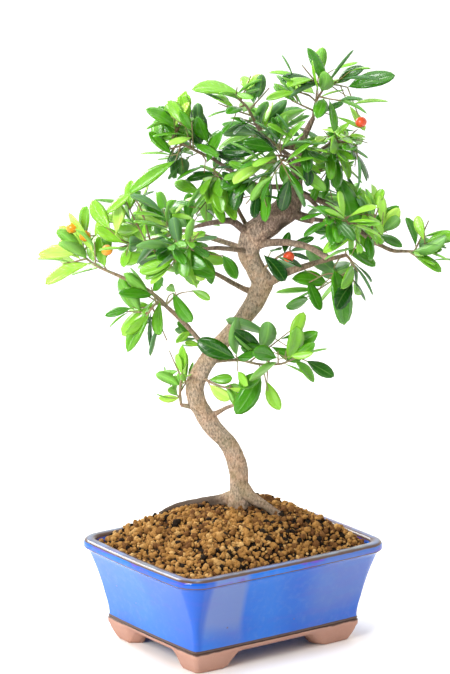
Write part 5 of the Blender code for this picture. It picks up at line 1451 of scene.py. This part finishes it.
class PotSettings(bpy.types.PropertyGroup):
    """Colours and finish of the pot."""
    glaze: colour_setting("Glaze", (0.008, 0.15, 0.62), "Thick blue glaze")
    deep: colour_setting("Deep glaze", (0.006, 0.105, 0.54), "Glaze where it pools")
    pale: colour_setting("Pale glaze", (0.09, 0.22, 0.56), "Glaze where it is thin")
    # painted reflection: colour of the pale upright bands on the front long side, which stand for the
    # studio's white reflected in the glaze
    painted_reflection: colour_setting("Painted reflection", (0.16, 0.215, 0.43), "Upright clouds on one long side")
    violet: colour_setting("Violet", (0.16, 0.03, 0.42), "Violet streaks in the glaze")
    corner_blue: colour_setting("Corner blue", (0.004, 0.08, 0.48), "Deepest blue, beside the front corner")
    # partly painted reflection: the rim top's grey-green is its thin glaze and also the white above
    # reflected in it
    thin: colour_setting("Thin", (0.205, 0.245, 0.225),
                         "Grey-green of the rim's top, where the glaze is thin")
    bare: colour_setting("Bare edge", (0.09, 0.05, 0.038), "Brown edges where the glaze runs off")
    clay: colour_setting("Clay", (0.48, 0.265, 0.195), "Unglazed base and feet")
    gloss: share_setting("Roughness", 0.1, "Of the glaze")


def outline(offset):
    """The pot's outline at each offset out from its foot: a rounded rectangle with bowed sides.

    Each point is a share of the straight part's half sizes, plus the corner's radius times its
    own outward direction, plus the bow, which is one less the share squared along a side.
    """
    offset = np.asarray(offset, float)[:, None]
    run = np.linspace(1, -1, SIDE_POINTS + 2)[1:-1, None]
    shares, normals, bows = [], [], []
    for quarter, corner in enumerate(((1, 1), (-1, 1), (-1, -1), (1, -1))):
        angle = np.linspace(0, math.pi / 2, CORNER_POINTS) + quarter * math.pi / 2
        flat = np.array(((0, 1), (-1, 0), (0, -1), (1, 0)))[quarter]
        step = np.array((flat[1], -flat[0]))
        shares += [np.tile(corner, (CORNER_POINTS, 1)), run * step + flat]
        normals += [np.column_stack([np.cos(angle), np.sin(angle)]),
                    np.tile(flat, (SIDE_POINTS, 1))]
        bows += [np.zeros((CORNER_POINTS, 2)), (1 - run ** 2) * flat]
    shares, normals, bows = (np.vstack(part)[None] for part in (shares, normals, bows))
    half = np.stack([POT_HALF_LENGTH - RIM_OVERHANG + offset,
                     POT_HALF_WIDTH - RIM_OVERHANG + offset], axis=-1)
    radius = CORNER_RADIUS - RIM_OVERHANG + offset + CORNER_INNER_MORE
    radius = np.maximum(radius, CORNER_LEAST)[..., None]
    return shares * (half - radius) + normals * radius + bows * SIDE_BOW


def ringed(rows):
    """Rings of the pot's outline at rows of offset and height, placed at the pot."""
    rows = np.asarray(rows, float)
    flat = outline(rows[:, 0])
    high = np.broadcast_to(rows[:, 1, None, None], (*flat.shape[:2], 1))
    return np.concatenate([flat, high], axis=2) + POT_CENTRE


def wall(height):
    """How far the wall's outside is out from its foot: its reach times a power of its share up."""
    top = RIM_HEIGHT - RIM_BAND_HEIGHT - UNDERCUT
    share = (height - WALL_FOOT_HEIGHT) / (top - WALL_FOOT_HEIGHT)
    return WALL_FLARE_REACH * share ** WALL_FLARE


def pot_profile():
    """The glazed body's profile as rows of offset, height and edge, from its foot to its inside.

    Edge is one on the arrises where the glaze runs thin.
    """
    def rows(out, up, table):
        return np.array(table) + (out, up, 0)

    lip = RIM_HEIGHT - RIM_BAND_HEIGHT
    outside = [(wall(height), height, 0) for height in
               np.linspace(WALL_FOOT_HEIGHT + 0.0036, lip - UNDERCUT, WALL_ROWS)]
    inside = [(wall(height) - WALL_THICKNESS, height, 0) for height in INSIDE_HEIGHTS]
    return np.vstack([rows(0, WALL_FOOT_HEIGHT, WALL_FOOT_ROWS), outside,
                      rows(RIM_OVERHANG, lip, BAND_ROWS), rows(RIM_OVERHANG, RIM_HEIGHT, RIM_ROWS),
                      rows(RIM_OVERHANG - RIM_TOP_WIDTH, RIM_HEIGHT, INNER_ROWS), inside])


def glaze_finish(settings):
    """Glaze: pooling and thin blues, violet streaks at the rim and a deeper blue by the front corner.
    Pale milky upright bands on one long side are painted reflection, and the rim top's grey-green
    is thin glaze and painted reflection of the white above.

    It goes brown where it runs off the arrises, and has a few pin-holes.
    """
    made = Finish("blue_glaze_finish", Roughness=settings.gloss, Specular_IOR_Level=0.42)
    across, deep, height = made.along("X"), made.along("Y"), made.along("Z")
    broad = made.noise(0.06, 2)
    blue = made.mix(made.step(broad, 0.35, 0.65), settings.glaze, settings.deep)
    cloud = made.step(made.noise(0.0045, 3, 0.6), 0.45, 0.75)
    blue = made.mix(cloud * 0.22, blue, settings.pale)
    # painted reflection: pale milky bands on the front long side, where the glaze would reflect the
    # studio's white
    bend = across + made.noise(0.04, 1) * 0.008 + height * 0.1
    painted_reflection = made.step(bend, *PAINTED_REFLECTION_FROM) * (1 - made.step(bend, *PAINTED_REFLECTION_TO))
    painted_reflection = (painted_reflection + made.step(bend, *SECOND_PAINTED_REFLECTION) * 0.6) * (1 - made.step(deep, *PAINTED_REFLECTION_SIDE))
    blue = made.mix(painted_reflection * 0.75, blue, settings.painted_reflection)
    # a deeper blue towards the front corner
    corner_blue = (1 - made.step(deep, *CORNER_BLUE_SIDE)) * (1 - made.step(across, *CORNER_BLUE_END))
    blue = made.mix(corner_blue * 0.8, blue, settings.corner_blue)
    rim = made.step(height, RIM_HEIGHT - RIM_BAND_HEIGHT - 0.004, RIM_HEIGHT)
    streak = made.noise(0.022, 3, 0.6, made.stretched(3.5)) + made.step(across, -0.02, 0.03) * 0.1
    blue = made.mix(made.step(streak, 0.54, 0.68) * (rim * 0.75 + 0.06), blue, settings.violet)
    # partly painted reflection: the rim's flat top goes grey-green for its thin glaze and for the
    # white above that it reflects
    top = made.step(height, RIM_HEIGHT - 0.002, RIM_HEIGHT - 0.0009)
    blue = made.mix(top * (made.step(broad, 0.4, 0.6) * 0.35 + 0.5), blue, settings.thin)
    broken = made.step(made.value("edge") + (made.noise(0.007, 2) - 0.5) * 0.3, 0.3, 0.6)
    blue = made.mix(broken, blue, settings.bare)
    pin = made.node("ShaderNodeTexVoronoi", None, {"Vector": made.place, "Scale": 70.0}, "Distance")
    hole = 1 - made.step(pin, 0.035, 0.07)
    made.feed("Base Color", made.mix(hole * 0.8, blue, settings.bare))
    made.feed("Roughness", broken * 0.12 + hole * 0.4 + settings.gloss)
    made.bump(made.noise(0.009, 2) * 0.5 - hole * 0.6, 0.00025, 0.5)
    return made.material


def clay_finish(settings):
    """Clay: salmon terracotta with fine grain and faint darker patches."""
    made = Finish("clay", Roughness=0.8, Specular_IOR_Level=0.3)
    grain = made.noise(0.0008, 3, 0.7)
    patch = made.step(made.noise(0.014, 3), 0.4, 0.7)
    body = made.mix(patch * 0.35, settings.clay, CLAY_SHADES[0])
    body = made.mix(made.step(grain, 0.55, 0.75) * 0.3, body, CLAY_SHADES[1])
    smear = made.step(made.value("edge") + (made.noise(0.006, 3) - 0.5) * 0.6, 0.45, 0.8)
    made.feed("Base Color", made.mix(smear, body, settings.bare))
    made.feed("Roughness", 0.82 - smear * 0.6)
    made.bump(grain, 0.0002, 0.6)
    return made.material


class BONSAI_OT_pot(bpy.types.Operator):
    """Make the glazed pot and its unglazed base with four bracket feet"""
    bl_idname = "bonsai.pot"
    bl_label = "Pot"

    def execute(self, context):
        settings = context.scene.bonsai_pot
        profile = pot_profile()
        rings = ringed(profile)
        middles = np.array(((0, 0, profile[0, 1]), (0, 0, profile[-1, 1]))) + POT_CENTRE
        edge = np.repeat(profile[:, 2], rings.shape[1])
        pot = Heap("edge")
        pot.add(*capped(rings, middles), edge=np.append(edge, (0, 0)))
        pot.piece("pot_glazed", glaze_finish(settings), ["pot"])
        self.base(settings)
        return {"FINISHED"}

    @staticmethod
    def base(settings):
        """The base: a bar carried round the pot's foot, whose underside arches between feet.

        The underside is at nought under a foot and rises gently to the body's own underside,
        over the length by which the foot is longer at its top. Rows above it are squeezed up.
        """
        rows = np.array(BASE_ROWS)
        rings = ringed(rows)
        half = np.array((POT_HALF_LENGTH, POT_HALF_WIDTH)) - RIM_OVERHANG
        far = half - np.abs((rings[0] - POT_CENTRE)[:, :2])
        long_side = far[:, 1] < far[:, 0]
        gone = np.where(long_side, far[:, 0], far[:, 1])
        part = (gone - np.where(long_side, *FOOT_ARMS)) / np.where(long_side, *FOOT_SPREAD)
        rise = BASE_HEIGHT * eased(np.clip(part, 0, 1))
        rings[..., 2] = rise + rings[..., 2] / BASE_TOP * (BASE_TOP - rise)
        count, around = rings.shape[:2]
        closed = grid_faces(count + 1, around) % (count * around)
        heap = Heap("edge")
        heap.add(rings, closed, edge=np.repeat(rows[:, 2], around))
        heap.piece("pot_base", clay_finish(settings),
                   [f"foot_{number}" for number in range(1, 5)])


# ---- soil
SOIL_HALF = (0.072, 0.058)          # half the field on which granules are dealt
SOIL_SEED = 8
GRANULE_SPACING = 0.74              # in granule widths
GRANULE_STRAY = 0.4
GRANULE_SIZES = (0.6, 1.3)          # least and most, before the power that favours small ones
GRANULE_POWER = 1.3
CRUMB_SIZES = (0.14, 0.3)
GRANULE_SUNK = (-0.1, 1.1)          # how deep a granule sits, in its own radii
GRANULE_STRETCH = (0.7, 1.2)
GRANULE_LUMPS = (0.48, 2.3, 50, 21)     # how far, how fine, range of places, seed
EDGE_ROOM = 0.4                     # of its radius, that a granule keeps from the rim's inside
TINTS = (0.5, 0.28, 0.012, 4, 0.25)     # middle, patches' strength, size and seed, chance
DAMP_TINT = 0.45                    # how much darker damp granules are
DARK_SHARES = (0.06, 0.3)           # share of black granules, dry and damp
BED_ROWS = 22
BED_INSET = 0.001                   # of its edge from the rim's inside
BED_SUNK = 0.0016
BED_FLOOR = 0.05


class SoilSettings(bpy.types.PropertyGroup):
    """Colours and grain of the soil."""
    ochre: colour_setting("Ochre", (0.44, 0.22, 0.06), "Most granules")
    rust: colour_setting("Rust", (0.17, 0.072, 0.022), "Darker granules")
    pale: colour_setting("Pale", (0.68, 0.41, 0.15), "Dry granules")
    dark: colour_setting("Bed", (0.02, 0.012, 0.007), "Shaded soil between granules")
    grain: length_setting("Grain", 0.0035, "Usual granule width")
    damp_reach: length_setting("Damp reach", 0.011, "How far the darker soil goes round the roots")
    crumbs: bpy.props.IntProperty(
        name="Crumbs", description="Small granules between the large ones", min=0, default=1300)


def mound(x, y):
    """The soil's height at places in the pot's axes, and how far in from its edge they are.

    Its slope falls from the flat round top to the edge ring by one less the share out to the
    mound's power. Crossing ripples make its lumps, which fade at both ends of the slope.
    """
    foot = (placed(TRUNK[1]) - POT_CENTRE)[:2]
    ring = outline([RIM_OVERHANG - RIM_TOP_WIDTH - SOIL_EDGE_INSET])[0] - foot
    turn = np.arctan2(ring[:, 1], ring[:, 0])
    order = np.argsort(turn)
    edge = np.interp(np.arctan2(y - foot[1], x - foot[0]), turn[order],
                     np.linalg.norm(ring, axis=1)[order], period=math.tau)
    gone = np.hypot(x - foot[0], y - foot[1])
    part = np.clip((edge - gone) / (edge - MOUND_TOP_RADIUS), 0, 1)
    rise = (GROUND_HEIGHT - SOIL_EDGE_HEIGHT) * (1 - (1 - part) ** MOUND_POWER)
    turns = math.tau / SOIL_LUMP_SPACING
    ripples = sum(np.sin(turns * (x * math.cos(angle) + y * math.sin(angle)) + angle)
                  for angle in SOIL_RIPPLES)
    lump = SOIL_LUMP * ripples / 2 * 4 * part * (1 - part)
    return SOIL_EDGE_HEIGHT + rise + lump, edge - gone


def granule_shape():
    """A rounded cube of 24 faces: its grid points pushed out to a ball of radius one."""
    points = [point for point in itertools.product((-1, 0, 1), repeat=3) if any(point)]
    index = {point: number for number, point in enumerate(points)}
    quads = []
    for axis, way, u, v in itertools.product(range(3), (-1, 1), (-1, 0), (-1, 0)):
        corners = [(way, u + du, v + dv) for du, dv in ((0, 0), (1, 0), (1, 1), (0, 1))]
        face = [index[corner[-axis:] + corner[:-axis] if axis else corner] for corner in corners]
        quads.append(face if way > 0 else face[::-1])
    cells = np.array(points, float)
    return cells / np.linalg.norm(cells, axis=1, keepdims=True), np.array(quads)


def soil_finish(settings):
    """Akadama granules: each dealt one of three ochres by its own value, dusty and pitted."""
    made = Finish("akadama", Roughness=0.95, Specular_IOR_Level=0.15)
    tint = made.value("tint")
    body = made.mix(made.step(tint, 0.1, 0.45), settings.rust, settings.ochre)
    body = made.mix(made.step(tint, 0.65, 1.0), body, settings.pale)
    grit = made.noise(0.0007, 3, 0.7)
    body = made.mix(made.step(grit, 0.5, 0.75) * 0.4, body, settings.rust)
    body = made.mix(1 - made.step(tint, 0.0, 0.06), body, settings.dark)
    made.feed("Base Color", body)
    made.bump(grit + made.noise(0.0014, 3, 0.6) * 1.5, 0.0007)
    return made.material


def deal_granules(settings, rng):
    """Places and radii of granules on a strayed grid, and of crumbs anywhere between them."""
    wide, (far_x, far_y) = settings.grain, SOIL_HALF
    apart = wide * GRANULE_SPACING
    x, y = (part.ravel() for part in np.meshgrid(np.arange(-far_x, far_x, apart),
                                                 np.arange(-far_y, far_y, apart)))
    x = x + rng.uniform(-GRANULE_STRAY, GRANULE_STRAY, x.size) * wide
    y = y + rng.uniform(-GRANULE_STRAY, GRANULE_STRAY, y.size) * wide
    size = wide * rng.uniform(*GRANULE_SIZES, x.size) ** GRANULE_POWER / 2
    crumbs = rng.uniform((-far_x, -far_y), SOIL_HALF, (settings.crumbs, 2))
    x, y = np.append(x, crumbs[:, 0]), np.append(y, crumbs[:, 1])
    size = np.append(size, wide * rng.uniform(*CRUMB_SIZES, len(crumbs)))
    high, inside = mound(x, y)
    keep = inside > size * EDGE_ROOM
    centre = np.column_stack([x, y, high])[keep] + POT_CENTRE
    return centre, size[keep]


def granule_points(centre, size, rng):
    """Each granule's points: the ball stretched, made lumpy by noise, turned and placed."""
    ball, quads = granule_shape()
    count = len(centre)
    turned = np.linalg.qr(rng.normal(size=(count, 3, 3)))[0]
    turned[:, :, 0] *= np.sign(np.linalg.det(turned))[:, None]
    shape = ball * rng.uniform(*GRANULE_STRETCH, (count, 1, 3))
    far, fine, places, seed = GRANULE_LUMPS
    lumps = 1 + far * noise(ball * fine + rng.uniform(0, places, (count, 1, 3)), seed)
    points = np.einsum("nij,nvj->nvi", turned, shape * lumps[..., None])
    start = np.arange(count)[:, None, None] * len(ball)
    return centre[:, None] + points * size[:, None, None], (quads + start).reshape(-1, 4)


def granule_tints(centre, reach, rng):
    """Each granule's tint: patches by noise, chance, and darker within reach of the roots."""
    near = np.ones(len(centre))
    for root in (TRUNK, *SURFACE_ROOTS):
        rows = placed(smooth(root, 6))
        away = np.linalg.norm(centre[:, None] - rows[rows[:, 2] < GROUND_HEIGHT + 0.01], axis=2)
        near = np.minimum(near, away.min(axis=1))
    damp = np.exp(-(near / reach) ** 2)
    middle, patches, patch, seed, chance = TINTS
    tint = middle + patches * noise(centre / patch, seed) + rng.normal(0, chance, len(centre))
    black = rng.uniform(size=len(centre)) < DARK_SHARES[0] + DARK_SHARES[1] * damp
    return np.where(black, 0.0, np.clip(tint - DAMP_TINT * damp, 0.07, 1))


class BONSAI_OT_soil(bpy.types.Operator):
    """Heap the akadama granules over the mound"""
    bl_idname = "bonsai.soil"
    bl_label = "Soil"

    def execute(self, context):
        settings = context.scene.bonsai_soil
        rng = np.random.default_rng(SOIL_SEED)
        centre, size = deal_granules(settings, rng)
        centre[:, 2] -= size * rng.uniform(*GRANULE_SUNK, len(size))
        points, quads = granule_points(centre, size, rng)
        tint = granule_tints(centre, settings.damp_reach, rng)
        heap = Heap("tint")
        heap.add(points, quads, tint=np.repeat(tint, points.shape[1]))
        self.bed(heap)
        heap.piece("soil_granules", soil_finish(settings), ["soil"])
        return {"FINISHED"}

    @staticmethod
    def bed(heap):
        """The dark bed under the granules: the mound sunk a little, closed by a flat underside."""
        ring = outline([RIM_OVERHANG - RIM_TOP_WIDTH - BED_INSET])[0]
        flat = ring * np.linspace(1, 0.02, BED_ROWS)[:, None, None]
        high = mound(flat[..., 0], flat[..., 1])[0] - BED_SUNK
        top = np.concatenate([flat, high[..., None]], axis=2)
        low = top[:1] * (1, 1, 0) + (0, 0, BED_FLOOR)
        middles = np.array(((0, 0, BED_FLOOR), (0, 0, high[-1].mean())))
        heap.add(*capped(np.concatenate([low, top]) + POT_CENTRE, middles + POT_CENTRE), tint=0)


# ---- stage
FLOOR_HALF = 0.9
SENSOR_HEIGHT = 36                  # millimetres
ROOM_EDGE = (-0.75, 0.15)           # how far a way looks back, where the room ends and begins
LAMPS = {                           # place in the tree's axes, width in metres, watts
    "key": ((-0.8, -1.15, 0.95), 0.7, 27),
    "fill": ((1.2, -0.8, 0.8), 1.0, 2),
    "back": ((-0.9, 1.0, 1.1), 0.8, 24),
    "top": ((0.1, -0.2, 1.5), 0.35, 7),
}


class StageSettings(bpy.types.PropertyGroup):
    """Camera, floor and light."""
    lens: bpy.props.FloatProperty(
        name="Lens", description="Focal length on a 36 mm high sensor", unit="CAMERA", min=10,
        default=173.2)
    distance: length_setting("Distance", 2.0, "From the camera to its target")
    azimuth: bpy.props.FloatProperty(
        name="Azimuth", description="Turn of the camera round the pot", subtype="ANGLE",
        default=math.radians(-35.57))
    elevation: bpy.props.FloatProperty(
        name="Elevation", description="Height of the camera as an angle", subtype="ANGLE",
        default=math.radians(13.14))
    target_height: length_setting("Target height", 0.1947, "Of the point that the camera looks at")
    target_across: bpy.props.FloatProperty(
        name="Target across", description="Of the point that the camera looks at",
        subtype="DISTANCE", unit="LENGTH", default=-0.0049)
    floor: colour_setting("Floor", (0.94, 0.92, 0.89), "Floor")
    backdrop: bpy.props.FloatProperty(
        name="Backdrop", description="Light of the white studio behind the tree", min=0,
        default=1.3)
    room: bpy.props.FloatProperty(
        name="Room", description="Light of the darker room in front of it", min=0, default=0.16)


class BONSAI_OT_stage(bpy.types.Operator):
    """Set the floor, soft studio lights and the camera"""
    bl_idname = "bonsai.stage"
    bl_label = "Stage"

    def execute(self, context):
        settings, scene = context.scene.bonsai_stage, context.scene
        turn, rise = settings.azimuth, settings.elevation
        back = Vector((math.sin(turn) * math.cos(rise), -math.cos(turn) * math.cos(rise),
                       math.sin(rise)))
        target = Vector(POT_CENTRE)
        target += Vector((math.cos(turn), math.sin(turn), 0)) * settings.target_across
        target.z = settings.target_height
        self.floor(scene, settings)
        scene.camera = self.camera(scene, settings, target, back)
        scene.world = self.studio(settings, back)
        scene.view_settings.view_transform = "Standard"
        for name, (place, width, watts) in LAMPS.items():
            lamp = bpy.data.lights.new(name, "AREA")
            lamp.size, lamp.energy = width, watts
            spot = Vector(placed(place))
            self.stand(scene, name, lamp, spot, spot - target)
        return {"FINISHED"}

    @staticmethod
    def stand(scene, name, data, spot, back):
        """A lamp or camera at a spot, looking away from its back."""
        made = bpy.data.objects.new(name, data)
        made.location = spot
        made.rotation_euler = back.to_track_quat("Z", "Y").to_euler()
        scene.collection.objects.link(made)
        return made

    @staticmethod
    def floor(scene, settings):
        """A plain square floor."""
        corners = np.array(((-1, -1, 0), (1, -1, 0), (1, 1, 0), (-1, 1, 0))) * FLOOR_HALF
        mesh = bpy.data.meshes.new("floor")
        mesh.from_pydata(corners.tolist(), [], [(0, 1, 2, 3)])
        paper = Finish("floor_paper", Roughness=0.6, Base_Color=(*settings.floor, 1))
        mesh.materials.append(paper.material)
        made = bpy.data.objects.new("floor", mesh)
        scene.collection.objects.link(made)
        return made

    def camera(self, scene, settings, target, back):
        """The camera, back from its target."""
        data = bpy.data.cameras.new("camera")
        data.sensor_fit = "VERTICAL"
        data.sensor_height = SENSOR_HEIGHT
        data.lens = settings.lens
        data.clip_end = 50
        return self.stand(scene, "camera", data, target + back * settings.distance, back)

    @staticmethod
    def studio(settings, back):
        """A world that is white behind the tree and darker before it, and white to the camera."""
        world = bpy.data.worlds.new("studio")
        world.use_nodes = True
        made = Nodes(world.node_tree, "Background")
        way = made.node("ShaderNodeTexCoord", output="Generated")
        behind = made.node("ShaderNodeVectorMath", {"operation": "DOT_PRODUCT"},
                           {0: way, 1: -back}, "Value")
        room = made.step(behind, *ROOM_EDGE, settings.room, settings.backdrop)
        made.feed("Strength", room.most(made.node("ShaderNodeLightPath", output="Is Camera Ray")))
        made.shader.inputs["Color"].default_value = (1, 1, 1, 1)
        return world


# ---- add-on
class BONSAI_PT_panel(bpy.types.Panel):
    """Lists the pieces and their settings"""
    bl_idname = "BONSAI_PT_panel"
    bl_label = "Pyracantha bonsai"
    bl_space_type = "VIEW_3D"
    bl_region_type = "UI"
    bl_category = "Bonsai"

    def draw(self, context):
        for key, operator in STEPS.items():
            box = self.layout.box()
            box.operator(operator.bl_idname)
            settings = getattr(context.scene, "bonsai_" + key)
            for name in settings.__annotations__:
                box.prop(settings, name)


SETTINGS = {"pot": PotSettings, "soil": SoilSettings, "bark": BarkSettings,
            "leaves": LeafSettings, "berries": BerrySettings, "stage": StageSettings}
STEPS = {"pot": BONSAI_OT_pot, "soil": BONSAI_OT_soil, "bark": BONSAI_OT_bark,
         "leaves": BONSAI_OT_leaves, "berries": BONSAI_OT_berries, "stage": BONSAI_OT_stage}


def register():
    """Registers the settings, the operators and the panel."""
    for group in SETTINGS.values():
        bpy.utils.register_class(group)
    for operator in STEPS.values():
        bpy.utils.register_class(operator)
    bpy.utils.register_class(BONSAI_PT_panel)
    for key, group in SETTINGS.items():
        setattr(bpy.types.Scene, "bonsai_" + key, bpy.props.PointerProperty(type=group))


def unregister():
    """Takes back what register did."""
    for key in SETTINGS:
        delattr(bpy.types.Scene, "bonsai_" + key)
    bpy.utils.unregister_class(BONSAI_PT_panel)
    for made in (*STEPS.values(), *SETTINGS.values()):
        bpy.utils.unregister_class(made)


def main():
    """Makes every piece and the stage."""
    register()
    bpy.ops.bonsai.pot()
    bpy.ops.bonsai.soil()
    bpy.ops.bonsai.bark()
    bpy.ops.bonsai.leaves()
    bpy.ops.bonsai.berries()
    bpy.ops.bonsai.stage()


if __name__ == "__main__":
    main()
